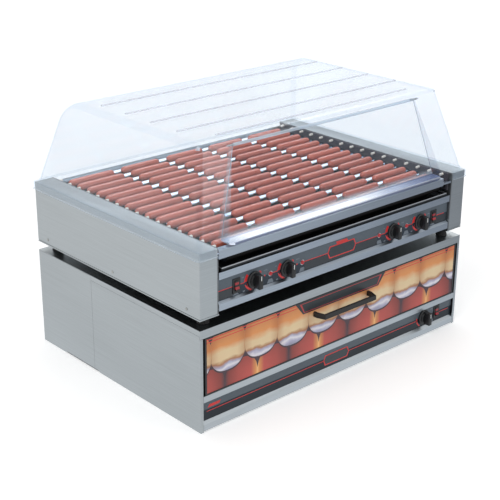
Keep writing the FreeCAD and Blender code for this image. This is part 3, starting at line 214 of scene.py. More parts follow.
def polished_stainless(name, rgba):
    """Mirror-ground stainless tube: sharp reflections with faint turning marks and a little dried fat."""
    material, tree, shader, place = new_material(name)
    # Turning marks 1.4 mm apart and fat spots 17 to 40 mm long
    turned = add(tree, "Mapping", Vector=place, Scale=(700, 12, 12))
    rings = add(tree, "TexNoise", Vector=turned, Scale=1.0, Detail=2.0)
    spattered = add(tree, "Mapping", Vector=place, Scale=(25, 60, 60))
    spots = add(tree, "TexNoise", Vector=spattered, Scale=1.0, Detail=4.0)
    feed(tree, shader, Metallic=1.0,
         Base_Color=add(tree, "ValToRGB", stops=[(0.3, shade(rgba, 0.93)), (0.7, rgba)], Fac=rings),
         Roughness=add(tree, "MapRange", Value=spots, From_Min=0.45, From_Max=0.75, To_Min=0.1, To_Max=0.26))
    return material


def mill_steel(name, rgba, roughness=0.42, painted_highlight=None):
    """Plain cold-rolled sheet: cloudy, greyish reflections; painted_highlight is a height and the colour of a
    painted highlight above it.
    """
    material, tree, shader, place = new_material(name)
    # Clouds about 55 mm across
    cloud = add(tree, "TexNoise", Vector=place, Scale=18.0, Detail=5.0)
    tone = add(tree, "ValToRGB", stops=[(0.3, shade(rgba, 0.8)), (0.7, rgba)], Fac=cloud)
    if painted_highlight:
        level, bright = painted_highlight
        # Painted highlight: a bright band above the given height
        height = add(tree, "SeparateXYZ", Vector=place).outputs["Z"]
        above = add(tree, "MapRange", Value=height, From_Min=level - 0.3 * MM, From_Max=level + 0.3 * MM)
        tone = add(tree, "Mix", {"data_type": "RGBA"}, n0=above, n6=tone, n7=bright)
    worn = add(tree, "MapRange", Value=cloud, To_Min=roughness - 0.1, To_Max=roughness + 0.12)
    feed(tree, shader, Metallic=0.9, Base_Color=tone, Roughness=worn)
    return material


def moulded_plastic(name, rgba, roughness=0.42):
    """Injection-moulded phenolic, nylon or ABS with a fine spark-eroded grain."""
    material, tree, shader, place = new_material(name)
    # 0.4 mm grit
    grain = add(tree, "TexNoise", Vector=place, Scale=2500, Detail=2.0)
    tone = add(tree, "ValToRGB", stops=[(0.3, shade(rgba, 0.85)), (0.7, shade(rgba, 1.1))], Fac=grain)
    feed(tree, shader, Base_Color=tone, Roughness=roughness, IOR=1.5,
         Normal=add(tree, "Bump", Height=grain, Strength=0.15, Distance=0.1 * MM))
    return material


def rubber(name, rgba):
    """Soft black rubber: dull, with faint dusty patches."""
    material, tree, shader, place = new_material(name)
    # Dusty patches about 8 mm across
    dust = add(tree, "TexNoise", Vector=place, Scale=120.0, Detail=4.0)
    feed(tree, shader, Roughness=0.75,
         Base_Color=add(tree, "ValToRGB", stops=[(0.35, rgba), (0.8, shade(rgba, 1.8))], Fac=dust))
    return material


def clear_acrylic(name, tint, haze, veil, gloss, foot=0.0):
    """Thermoformed clear acrylic: faintly veiled, more mirror-like at a slant, with a painted veil of light
    below the foot.
    """
    material, tree, shader, place = new_material(name)
    tree.nodes.remove(shader)
    # The sheet ripples over about 110 mm
    ripple = add(tree, "TexNoise", Vector=place, Scale=9.0, Detail=1.0)
    dust = add(tree, "MapRange", Value=ripple, From_Min=0.3, From_Max=0.7,
               To_Min=haze * 0.7, To_Max=haze * 1.3)
    height = add(tree, "SeparateXYZ", Vector=place).outputs["Z"]
    # Painted light: a milky veil below the foot, fading out over the 12 mm up to it
    painted_veil = add(tree, "MapRange", Value=height, From_Min=foot - 12 * MM, From_Max=foot,
                To_Min=0.3, To_Max=0.0)
    # From here dust holds the painted veil as well
    dust = add(tree, "Math", {"operation": "ADD"}, n0=dust, n1=painted_veil)
    slant = add(tree, "LayerWeight", Blend=0.5).outputs["Facing"]
    steep = add(tree, "Math", {"operation": "POWER"}, n0=slant, n1=3.0)
    shine = add(tree, "Math", {"operation": "MULTIPLY_ADD"}, n0=steep, n1=gloss, n2=0.03)
    wave = add(tree, "Bump", Height=ripple, Strength=0.2, Distance=3 * MM)
    clear = add(tree, "BsdfTransparent", Color=tint)
    milk = add(tree, "BsdfDiffuse", Color=veil)
    mirror = add(tree, "BsdfAnisotropic", Color=linear("#f9fcff"), Roughness=0.08, Normal=wave)
    sheet = add(tree, "MixShader", n0=dust, n1=clear, n2=milk)
    sheet = add(tree, "MixShader", n0=shine, n1=sheet, n2=mirror)
    # Light passes the sheet, so what it covers isn't left in its shadow
    shadow_ray = add(tree, "LightPath").outputs["Is Shadow Ray"]
    open_way = add(tree, "BsdfTransparent", Color=linear("#fcfdfe"))
    seen = add(tree, "MixShader", n0=shadow_ray, n1=sheet, n2=open_way)
    feed(tree, tree.nodes["Material Output"], Surface=seen)
    return material


def flange_painted_light(name, reach, stops):
    """Level flange of the clear door, with painted light from the left; stops go from its left to its right.
    """
    material, tree, shader, place = new_material(name)
    tree.nodes.remove(shader)
    across = add(tree, "SeparateXYZ", Vector=place).outputs["X"]
    # Patches of light about 70 mm wide and 25 mm deep
    patches = add(tree, "Mapping", Vector=place, Scale=(14, 40, 40))
    cloud = add(tree, "TexNoise", Vector=patches, Scale=1.0, Detail=2.0)
    drift = add(tree, "MapRange", Value=cloud, To_Min=-40 * MM, To_Max=40 * MM)
    shifted = add(tree, "Math", {"operation": "ADD"}, n0=across, n1=drift)
    share = add(tree, "MapRange", Value=shifted, From_Min=-reach, From_Max=reach)
    # Painted light: white where the flange catches the light on the left, grey-blue towards the right
    tone = add(tree, "ValToRGB", stops=stops, Fac=share)
    mirror = add(tree, "BsdfAnisotropic", Color=tone, Roughness=0.15)
    # Painted glow, though the flange is no lamp
    glow = add(tree, "Emission", Color=tone, Strength=0.35)
    lit = add(tree, "AddShader", n0=mirror, n1=glow)
    clear = add(tree, "BsdfTransparent", Color=linear("#e8eef6"))
    feed(tree, tree.nodes["Material Output"], Surface=add(tree, "MixShader", n0=0.88, n1=clear, n2=lit))
    return material


def printed_film(name, upper, lower, line_z, fade):
    """Polycarbonate control film printed on its back: grey above the line, near black below it."""
    material, tree, shader, place = new_material(name)
    height = add(tree, "SeparateXYZ", Vector=place).outputs["Z"]
    step = add(tree, "MapRange", Value=height, From_Min=line_z - fade, From_Max=line_z + fade)
    printed = add(tree, "ValToRGB", Fac=step, stops=[
        (0.0, shade(lower, 0.75)), (0.49, lower), (0.51, shade(upper, 0.85)), (1.0, upper)])
    # Specks of about 1 mm
    speck = add(tree, "TexNoise", Vector=place, Scale=900.0, Detail=1.0)
    grain = add(tree, "ValToRGB", stops=[(0.3, shade(WHITE, 0.92)), (0.7, WHITE)], Fac=speck)
    feed(tree, shader, Base_Color=add(tree, "Mix", TINTED, n0=1.0, n6=printed, n7=grain),
         Roughness=0.3, Specular_IOR_Level=0.25)
    return material


def print_ink(name, rgba, roughness=0.35):
    """Screen-printed ink, even but for a faint mottle."""
    material, tree, shader, place = new_material(name)
    # Mottles about 17 mm across
    mottle = add(tree, "TexNoise", Vector=place, Scale=60.0, Detail=3.0)
    tone = add(tree, "ValToRGB", stops=[(0.3, shade(rgba, 0.9)), (0.7, shade(rgba, 1.04))], Fac=mottle)
    feed(tree, shader, Base_Color=tone, Roughness=roughness)
    return material


def graded_ink(name, stops, crest, pitch, across):
    """Printed ink that changes colour with height, a little mottled, times a shading that repeats across.

    stops are (height, colour) pairs; across are (share of half the pitch from a crest, colour) pairs.
    """
    material, tree, shader, place = new_material(name)
    position = add(tree, "SeparateXYZ", Vector=place)
    # The colours wander over about 40 mm
    patches = add(tree, "Mapping", Vector=place, Scale=(22, 22, 30))
    cloud = add(tree, "TexNoise", Vector=patches, Scale=1.0, Detail=3.0)
    drift = add(tree, "MapRange", Value=cloud, To_Min=-14 * MM, To_Max=14 * MM)
    height = add(tree, "Math", {"operation": "ADD"}, n0=position.outputs["Z"], n1=drift)
    bottom, top = stops[0][0], stops[-1][0]
    share = add(tree, "MapRange", Value=height, From_Min=bottom, From_Max=top)
    rising = [((z - bottom) / (top - bottom), ink) for z, ink in stops]
    tone = add(tree, "ValToRGB", stops=rising, Fac=share)
    along = add(tree, "Math", {"operation": "SUBTRACT"}, n0=position.outputs["X"], n1=crest)
    bounce = add(tree, "Math", {"operation": "PINGPONG"}, n0=along, n1=pitch / 2)
    off_crest = add(tree, "Math", {"operation": "DIVIDE"}, n0=bounce, n1=pitch / 2)
    modelled = add(tree, "ValToRGB", stops=across, Fac=off_crest)
    feed(tree, shader, Base_Color=add(tree, "Mix", TINTED, n0=1.0, n6=tone, n7=modelled), Roughness=0.3)
    return material


def lamp_lens(name, rgba):
    """Red polycarbonate lens, lit a little from within."""
    material, tree, shader, place = new_material(name)
    # Ribs of 2.5 mm
    ribs = add(tree, "TexNoise", Vector=place, Scale=400.0)
    feed(tree, shader, Emission_Color=rgba, Emission_Strength=0.12, Roughness=0.15,
         Base_Color=add(tree, "ValToRGB", stops=[(0.3, shade(rgba, 0.8)), (0.7, rgba)], Fac=ribs))
    return material


def rocker_plastic(name, window, black, middle, reach):
    """Black moulded rocker with two small windows, one above the other; reach is half its height."""
    material, tree, shader, place = new_material(name)
    height = add(tree, "SeparateXYZ", Vector=place).outputs["Z"]
    share = add(tree, "MapRange", Value=height, From_Min=middle - reach, From_Max=middle + reach)
    tone = add(tree, "ValToRGB", Fac=share, stops=[
        (0.0, black), (0.12, black), (0.16, window), (0.36, window), (0.4, black),
        (0.56, black), (0.6, window), (0.8, window), (0.84, black)])
    feed(tree, shader, Base_Color=tone, Roughness=0.3)
    return material


def sausage_skin(name, rgba):
    """Cooked frankfurter: smooth, moist casing, browned where it has lain on the hot tube, with painted shade
    below and painted light on top.
    """
    material, tree, shader, place = new_material(name)
    roast_and_shade = add(tree, "Attribute", {"attribute_name": "roast_and_shade", "attribute_type": "GEOMETRY"}).outputs["Fac"]
    # Blotches about 22 mm long and 11 mm wide
    patches = add(tree, "Mapping", Vector=place, Scale=(45, 90, 90))
    blotch = add(tree, "TexNoise", Vector=patches, Scale=1.0, Detail=4.0)
    browned_and_shaded = add(tree, "Math", {"operation": "MULTIPLY_ADD"}, n0=blotch, n1=0.5, n2=roast_and_shade)
    # Low values are browning and painted shade, high ones painted light on top
    tone = add(tree, "ValToRGB", Fac=browned_and_shaded, stops=[
        (0.2, shade(rgba, 0.4)), (0.5, rgba), (0.92, shade(rgba, 1.5))])
    feed(tree, shader, Base_Color=tone, Roughness=0.18, Specular_IOR_Level=0.8,
         Subsurface_Weight=0.1, Subsurface_Radius=(4 * MM, 1.5 * MM, 1 * MM),
         Normal=add(tree, "Bump", Height=blotch, Strength=0.2, Distance=1 * MM))
    return material


def studio_floor(name):
    """White sweep: white to the camera, with the object's shadow, and greyer to the right in reflections."""
    material, tree, shader, place = new_material(name)
    feed(tree, shader, Base_Color=linear("#f4f4f4"), Roughness=0.6, Specular_IOR_Level=0.2)
    path = add(tree, "LightPath").outputs
    seen = seen_directly(tree, path)
    # The lamps reach only the middle of the floor, so its outer part gets more of its own
    away = add(tree, "VectorMath", {"operation": "LENGTH"}, n0=place)
    own = add(tree, "MapRange", Value=away, From_Min=0.8, From_Max=3.0, To_Min=0.33, To_Max=0.66)
    lift = add(tree, "Math", {"operation": "MULTIPLY"}, n0=seen, n1=own)
    glow = add(tree, "Emission", Color=WHITE, Strength=lift)
    total = add(tree, "AddShader", n0=shader, n1=glow)
    side = add(tree, "SeparateXYZ", Vector=place).outputs["X"]
    across = add(tree, "MapRange", Value=side, From_Min=-1.1, From_Max=1.1)
    sweep = add(tree, "ValToRGB", Fac=across, stops=[
        (0.0, WHITE), (0.6, linear("#edf0f3")), (0.8, linear("#d7dbe1")), (1.0, linear("#aaadb3"))])
    mirrored = add(tree, "Emission", Color=sweep, Strength=1.14)
    shown = add(tree, "MixShader", n0=path["Is Glossy Ray"], n1=total, n2=mirrored)
    feed(tree, tree.nodes["Material Output"], Surface=shown)
    return material


# Mesh tools


def finish_mesh(name, bm, materials, body, recalculate=True):
    """Turn a bmesh into a shown piece that rides on a body."""
    bmesh.ops.remove_doubles(bm, verts=bm.verts, dist=WELD)
    if recalculate:
        bmesh.ops.recalc_face_normals(bm, faces=bm.faces)
    mesh = bpy.data.meshes.new(name)
    bm.to_mesh(mesh)
    bm.free()
    for material in materials:
        mesh.materials.append(material)
    piece = bpy.data.objects.new(name, mesh)
    bpy.context.scene.collection.objects.link(piece)
    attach(piece, body)
    return piece


def slot_piece(name, bm, materials, body):
    """A shown piece without a CAD piece behind it."""
    finish_mesh(name, bm, materials, body)


def soften(bm):
    """Smooth shading, with edges sharper than about 32 degrees kept crisp."""
    crisp = 0.55
    for face in bm.faces:
        face.smooth = True
    for edge in bm.edges:
        edge.smooth = len(edge.link_faces) == 2 and edge.calc_face_angle(0) < crisp


def flat_widths(bm):
    """For each face the width of the flat strip it is part of: the strip's area over its longest side."""
    flats = {}
    for face in bm.faces:
        level = face.normal.dot(face.calc_center_median())
        key = (*(round(part, 2) for part in face.normal), round(level / (0.5 * MM)))
        flats.setdefault(key, []).append(face)
    widths = {}
    for faces in flats.values():
        corners = [vert.co for face in faces for vert in face.verts]
        longest = max(max(c[i] for c in corners) - min(c[i] for c in corners) for i in range(3))
        width = sum(face.calc_area() for face in faces) / longest
        widths.update((face, width) for face in faces)
    return widths


def smooth_copy(node, *materials, choose=None):
    """A merged, smooth-shaded copy of a CAD piece that stands for it; choose gives each face its material."""
    bm = bmesh.new()
    bm.from_mesh(frame["nodes"][node].data)
    bmesh.ops.remove_doubles(bm, verts=bm.verts, dist=CAD_WELD)
    soften(bm)
    if choose:
        widths = flat_widths(bm)
        for face in bm.faces:
            face.material_index = choose(face, widths[face])
    piece = finish_mesh(f"{node}_shown", bm, materials, body_of(node), recalculate=False)
    # Large flat faces decide the shading beside small rounded ones
    modifier = piece.modifiers.new("even_normals", "WEIGHTED_NORMAL")
    modifier.keep_sharp = True
    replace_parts(piece, node)


def assign(material, *nodes):
    """Give CAD pieces that are shown as they are their material."""
    for node in nodes:
        slots = frame["nodes"][node].data.materials
        slots.clear()
        slots.append(material)


def extrude_back(bm, faces, depth):
    """Give flat faces in an XZ plane a thickness towards +Y."""
    grown = bmesh.ops.extrude_face_region(bm, geom=faces)["geom"]
    verts = [item for item in grown if isinstance(item, bmesh.types.BMVert)]
    bmesh.ops.translate(bm, verts=verts, vec=(0, depth, 0))


def plate(bm, corners, y, depth, slot=0):
    """A thin flat piece facing -Y, from its (x, z) corners."""
    before = set(bm.faces)
    verts = [bm.verts.new((x, y, z)) for x, z in corners]
    extrude_back(bm, bmesh.ops.contextual_create(bm, geom=verts)["faces"], depth)
    for face in bm.faces:
        if face not in before:
            face.material_index = slot


def strip(bm, x, z, y, depth, slot=0):
    """A thin rectangle facing -Y, from its ends in x and in z."""
    plate(bm, [(x[0], z[0]), (x[1], z[0]), (x[1], z[1]), (x[0], z[1])], y, depth, slot)


def trapezium(bm, middle, low_half, high_half, z, y, depth, slot=0):
    """A thin trapezium facing -Y, from half its width at each of its ends in z."""
    plate(bm, [(middle - low_half, z[0]), (middle + low_half, z[0]),
               (middle + high_half, z[1]), (middle - high_half, z[1])], y, depth, slot)


def arc_band(bm, middle, inner, outer, start, end, y, depth, steps=16):
    """A thin ring sector facing -Y; angles in degrees, 0 to the right, counted upwards."""
    before = set(bm.faces)
    turn = math.radians(start)
    ends = []
    for radius in (inner, outer):
        right, up = radius * math.cos(turn), radius * math.sin(turn)
        ends.append(bm.verts.new((middle[0] + right, y, middle[1] + up)))
    edge = bm.edges.new(ends)
    full = abs(end - start) >= 360
    bmesh.ops.spin(bm, geom=[edge, *ends], cent=(middle[0], y, middle[1]), axis=(0, -1, 0), dvec=(0, 0, 0),
                   angle=math.radians(end - start), steps=steps, use_merge=full)
    bmesh.ops.remove_doubles(bm, verts=bm.verts, dist=WELD)
    extrude_back(bm, [face for face in bm.faces if face not in before], depth)


def disc(bm, middle, radius, y, depth):
    """A thin disc facing -Y."""
    before = set(bm.faces)
    at = Matrix.Translation((middle[0], y, middle[1])) @ Matrix.Rotation(math.radians(90), 4, "X")
    bmesh.ops.create_circle(bm, cap_ends=True, segments=20, radius=radius, matrix=at)
    extrude_back(bm, [face for face in bm.faces if face not in before], depth)


def oval(bm, middle, wide, tall, y, depth, slot):
    """A thin plate facing -Y whose outline lies between an ellipse and a rounded rectangle."""
    segments = 56
    corners = []
    for index in range(segments):
        turn = math.tau * index / segments
        c, s = math.cos(turn), math.sin(turn)
        corners.append((middle[0] + wide * math.copysign(abs(c) ** 0.8, c),
                        middle[1] + tall * math.copysign(abs(s) ** 0.8, s)))
    plate(bm, corners, y, depth, slot)


def spun(bm, profile, middle, axis, steps):
    """Turn an open profile of (along, radius) pairs about an axis through a point."""
    axis = Vector(axis).normalized()
    side = axis.orthogonal().normalized()
    verts = [bm.verts.new(Vector(middle) + axis * along + side * radius) for along, radius in profile]
    edges = [bm.edges.new(pair) for pair in zip(verts, verts[1:])]
    bmesh.ops.spin(bm, geom=verts + edges, cent=middle, axis=axis, dvec=(0, 0, 0),
                   angle=math.tau, steps=steps, use_merge=True)
    bmesh.ops.remove_doubles(bm, verts=bm.verts, dist=WELD)


def metres(*pairs, x=0, z=0):
    """Corners or profile points given in millimetres from a point."""
    return [(x + first * MM, z + second * MM) for first, second in pairs]


# Settings


class GrillFinish(bpy.types.PropertyGroup):
    """Colours of the casing and its moving pieces."""

    sheet: colour("#aab0b3", "Side sheets")
    rail: colour("#a3adb8", "Front rails")
    light_rail: colour("#b1b8bd", "Lower rail")
    tube: colour("#b9c1cb", "Roller tubes")
    inner: colour("#84888b", "Inner sheets")
    black: colour("#17181a", "Black plastic")
    film_upper: colour("#626d77", "Upper film")
    film_lower: colour("#2e3a47", "Lower film")
    red: colour("#dd2f2d", "Red print")
    acrylic: colour("#f9fbfd", "Clear sheet")
    # The whitish veil of the clear sheet's edges is painted light
    acrylic_edge: colour("#e3edf5", "Clear sheet's edges")


class DrawerPanel(bpy.types.PropertyGroup):
    """Sizes and colours of the drawer's printed scallops."""

    pitch: length(102, "Scallop pitch")
    seam: length(-277, "Place of a seam")
    seam_pitch: length(201, "Seam pitch")
    ground: colour("#46303a", "Ground")
    outline: colour("#c98a5a", "Upper outline")
    gold: colour("#e69a5a", "Gold")
    cream: colour("#ecd3a8", "Cream")
    lilac: colour("#b4b4cf", "Lilac")
    white: colour("#efeef6", "White")
    glow: colour("#f6bd7c", "Seam glow")
    brick: colour("#b04a42", "Brick")
    line: colour("#e04a44", "Thin lines")


class Frankfurters(bpy.types.PropertyGroup):
    """The food on the tubes."""

    skin: colour("#b2533d", "Skin")
    radius: length(9.9, "Radius")
    span: length(126, "Length")
    first_reach: length(17, "Further reach of the first column")
    pitch: length(148, "Column pitch")
    columns: bpy.props.IntProperty(name="Columns", description="Frankfurters side by side", default=5, min=1)


class Studio(bpy.types.PropertyGroup):
    """The camera."""

    camera_place: bpy.props.FloatVectorProperty(
        name="Camera place", description="Where the camera stands", subtype="TRANSLATION", size=3,
        default=(-1.9328, -2.1302, 1.3891))
    yaw: bpy.props.FloatProperty(
        name="Yaw", description="Turn to the right of +Y", subtype="ANGLE", default=math.radians(42.05))
    pitch: bpy.props.FloatProperty(
        name="Pitch", description="Tilt below level", subtype="ANGLE", default=math.radians(21.87))
    roll: bpy.props.FloatProperty(
        name="Roll", description="Turn about the view", subtype="ANGLE", default=0.0062)
    lens: bpy.props.FloatProperty(
        name="Lens", description="Focal length on a 36 mm sensor", unit="CAMERA", default=84.93)


# Stage


class GRILL_OT_stage(bpy.types.Operator):
    """Set up the white floor, soft lights and the camera"""

    bl_idname = "grill.stage"
    bl_label = "Stage"

    def execute(self, context):
        self.lay_floor(context)
        self.set_camera(context)
        self.hang_lamps(context)
        self.light_room(context)
        context.scene.view_settings.view_transform = "Standard"
        return {"FINISHED"}

    def lay_floor(self, context):
        """A white floor, 60 m wide so that its end isn't seen."""
        bm = bmesh.new()
        bmesh.ops.create_grid(bm, x_segments=1, y_segments=1, size=30)
        mesh = bpy.data.meshes.new("floor")
        bm.to_mesh(mesh)
        bm.free()
        mesh.materials.append(studio_floor("white studio sweep"))
        floor = bpy.data.objects.new("floor", mesh)
        context.scene.collection.objects.link(floor)

    def set_camera(self, context):
        """The camera as fitted to the corners seen in the photograph."""
        studio = context.scene.grill_studio
        eye = bpy.data.cameras.new("camera")
        eye.lens = studio.lens
        eye.sensor_width = 36
        eye.clip_end = 100
        camera = bpy.data.objects.new("camera", eye)
        camera.matrix_world = (
            Matrix.Translation(studio.camera_place)
            @ Matrix.Rotation(-studio.yaw, 4, "Z")
            @ Matrix.Rotation(math.pi / 2 - studio.pitch, 4, "X")
            @ Matrix.Rotation(studio.roll, 4, "Z")
        )
        context.scene.collection.objects.link(camera)
        context.scene.camera = camera

    def hang_lamps(self, context):
        """Three square soft boxes turned to the middle of the object."""
        for name, place, size, power in (
            ("key softbox", (-2.2, -1.0, 2.6), 1.8, 34),
            ("front softbox", (1.4, -3.0, 1.6), 1.6, 12),
            ("top softbox", (0.3, 0.6, 3.2), 2.2, 20),
        ):
            lamp = bpy.data.lights.new(name, "AREA")
            lamp.shape = "SQUARE"
            lamp.size = size
            lamp.energy = power
            stand = bpy.data.objects.new(name, lamp)
            aim = Vector((0, 0, 0.3)) - Vector(place)
            stand.matrix_world = Matrix.Translation(place) @ aim.to_track_quat("-Z", "Y").to_matrix().to_4x4()
            context.scene.collection.objects.link(stand)

    def light_room(self, context):
        """White to the camera, grey for light, and in reflections with one more soft box."""
        world = bpy.data.worlds.new("white room")
        context.scene.world = world
        world.use_nodes = True
        tree = world.node_tree
        path = add(tree, "LightPath").outputs
        seen = seen_directly(tree, path)
        # A soft box above the back, seen as a streak along rounded metal and moist skin
        way = add(tree, "TexCoord").outputs["Generated"]
        toward = add(tree, "VectorMath", {"operation": "DOT_PRODUCT"}, n0=way, n1=(0.511, 0.35, 0.786))
        soft_box = add(tree, "MapRange", Value=toward, From_Min=0.91, From_Max=0.97, To_Min=0.9, To_Max=3.6)
        level = add(tree, "MapRange", Value=path["Is Glossy Ray"], To_Min=0.48, To_Max=soft_box)
        level = add(tree, "Math", {"operation": "MAXIMUM"}, n0=level, n1=seen)
        feed(tree, tree.nodes["Background"], Color=WHITE, Strength=level)


# Casing and rollers


class GRILL_OT_casing(bpy.types.Operator):
    """Finish the sheets, rails, inner pieces and feet"""

    bl_idname = "grill.casing"
    bl_label = "Casing"

    def execute(self, context):
        finish = context.scene.grill_finish
        sheet = brushed_stainless("brushed stainless sheet", finish.sheet, 0.34)
        assign(sheet, "warmer_side_panels", "warmer_rear_wrap", "warmer_top_cover", "grill_rear_panel",
               "grill_base_pan")
        for node in ("left_end_housing", "right_end_housing"):
            smooth_copy(node, sheet)
        rail = brushed_stainless("brushed stainless rail", finish.rail, 0.3, grain=900)
        assign(rail, "front_top_rail", "control_fascia")
        assign(brushed_stainless("pale brushed rail", finish.light_rail, 0.34, grain=900), "warmer_fascia")
        assign(mill_steel("cold-rolled inner sheet", finish.inner),
               "bearing_plates", "warmer_base", "drawer_pan", "drawer_rails", "drawer_runners")
        # The tray and its rails are coloured near black; the tray's top 2.4 mm get a painted highlight
        near_black = linear("#3c3e41")
        painted_edge_highlight = (high("drip_tray").z - 2.4 * MM, linear("#b6babe"))
        assign(mill_steel("near-black tray steel", near_black, 0.5), "tray_rails")
        tray = mill_steel("near-black tray with a painted edge highlight", near_black, 0.45, painted_highlight=painted_edge_highlight)
        assign(tray, "drip_tray")
        assign(mill_steel("zinc-plated steel", linear("#a9aba8"), 0.35),
               "drive_chain", "drive_sprocket", "housing_screws", "door_hinge_pins")
        assign(mill_steel("oxidised heater sheath", linear("#4a4641"), 0.6), "heater_rods", "warmer_heater")
        assign(moulded_plastic("black phenolic", finish.black), "thermostats", "switch_housings")
        assign(moulded_plastic("dark bearing nylon", linear("#4c4b53"), 0.5), "bearing_strips")
        assign(moulded_plastic("black motor enamel", linear("#202224"), 0.5), "drive_motor")
        smooth_copy("grill_feet", rubber("black rubber foot", linear("#1b1b1c")))
        return {"FINISHED"}


def roller_nodes():
    """The rollers' nodes from the front one to the rear one."""
    return sorted(node for node in frame["nodes"] if node.startswith("roller_"))


class GRILL_OT_rollers(bpy.types.Operator):
    """Polish the sixteen rollers and set the studs over their ends"""

    bl_idname = "grill.rollers"
    bl_label = "Rollers"

    def execute(self, context):
        tube = polished_stainless("ground stainless tube", context.scene.grill_finish.tube)
        # The tubes' lower front faces get near-black steel: painted shade, which also keeps them from
        # mirroring the white floor
        painted_shade = mill_steel("tube underside in painted shade", linear("#1c1b1b"), 0.6)
        rollers = roller_nodes()

        def painted_shade_below(forward, upward):
            """Choose the painted shade for faces that look to the front, but not as far up as upward."""
            return lambda face, width: int(face.normal.y < -forward and face.normal.z < upward)

        smooth_copy(rollers[0], tube, painted_shade, choose=painted_shade_below(0.2, 0.4))
        for node in rollers[1:]:
            smooth_copy(node, tube, painted_shade, choose=painted_shade_below(0.3, 0.75))
        self.studs(rollers)
        return {"FINISHED"}

    def studs(self, rollers):
        """Small near-white studs on the inner faces of the bearing strips, one above each end of a roller;
        their near-white is a painted glint.
        """
        strip_thickness = 4 * MM
        above_axis = 25.5 * MM
        wall = high("bearing_strips").x - strip_thickness
        outline = metres((0, 3.4), (10, 3.4), (11.4, 2.4), (11.8, 0))
        bm = bmesh.new()
        for node in rollers:
            axis = centre(node)
            for side in (-1, 1):
                spun(bm, outline, (side * wall, axis.y, axis.z + above_axis), (-side, 0, 0), steps=16)
        soften(bm)
        # Near-white so that the studs show as bright glints under the hood: painted highlight
        nylon = moulded_plastic("near-white stud with a painted glint", linear("#fff9ee"), 0.25)
        slot_piece("strip_studs", bm, [nylon], "casing")


# Hood


class GRILL_OT_hood(bpy.types.Operator):
    """Make the hood and its door of clear sheet"""

    bl_idname = "grill.hood"
    bl_label = "Hood"

    def execute(self, context):
        finish = context.scene.grill_finish
        veil = linear("#e6f0f8")
        rim_top = high("left_end_housing").z
        door_foot = rim_top + 14 * MM
        sheet = clear_acrylic("clear acrylic sheet", finish.acrylic, 0.022, veil, 0.14)
        # The door gets the painted veil of light below door_foot
        door_sheet = clear_acrylic("clear acrylic door", finish.acrylic, 0.016, veil, 0.14, foot=door_foot)
        # The cut edges get a milky white veil: painted light, the brightness they catch
        edge = clear_acrylic("acrylic edge with painted light", linear("#dbe6f2"), 0.42, finish.acrylic_edge, 0.6)
        cheek = clear_acrylic("clear acrylic cheek", linear("#f3f6fa"), 0.025, veil, 0.12)
        corner = clear_acrylic("rounded acrylic corner", linear("#f6f9fc"), 0.025, veil, 0.2)
        # The ribs get a grey veil: painted shade lines along their tops
        rib = clear_acrylic("acrylic rib with painted shade", linear("#e6eaf2"), 0.5, linear("#b9bdcb"), 0.5)
        # The flange's colours are painted light
        flange = flange_painted_light("flange with painted light", high("hood_door").x, [
            (0.0, linear("#c9cfdb")), (0.1, linear("#fbfcff")), (0.6, linear("#ffffff")),
            (0.74, linear("#c0c7d6")), (0.88, linear("#8d96ae")), (1.0, linear("#6d7690"))])
        # The flange's front face is an opaque grey-blue: painted shade
        shaded = mill_steel("flange front in painted shade", linear("#858da6"), 0.5)
        opening_back = low("hood_door").y + 120 * MM
        rib_low = high("hood").z - 1.9 * MM
        inside = low("right_end_housing").x
        # The sheet's cut edges and the strips of its rounded corners are narrower than this
        narrow = 3.6 * MM

        def hood_part(face, width):
            """0 for plain sheet, 1 for a cut edge with painted light, 2 for a cheek, 3 for a rib with painted
            shade, 4 for a rounded corner.
            """
            place = face.calc_center_median()
            if place.z > rib_low:
                return 3
            if place.y < opening_back and abs(face.normal.x) > 0.6 and abs(place.x) < inside:
                return 1 if width < narrow else 2
            if place.z < rim_top:
                return int(abs(face.normal.z) > 0.9)
            return 4 if width < narrow else 0

        def door_part(face, width):
            """0 for plain sheet, 1 for a cut edge with painted light, 2 for the flange with painted light, 3
            for the flange's front in painted shade.
            """
            if face.calc_center_median().z > rim_top:
                return int(width < narrow)
            return 3 if face.normal.y < -0.9 else 2

        smooth_copy("hood", sheet, edge, cheek, rib, corner, choose=hood_part)
        smooth_copy("hood_door", door_sheet, edge, flange, shaded, choose=door_part)
        return {"FINISHED"}


# Controls


# Thickness of the printed shapes on the panels
PRINT = 0.15 * MM
# From the middle of a grill knob to the lamp beside it
LAMP_OFFSET = 51 * MM


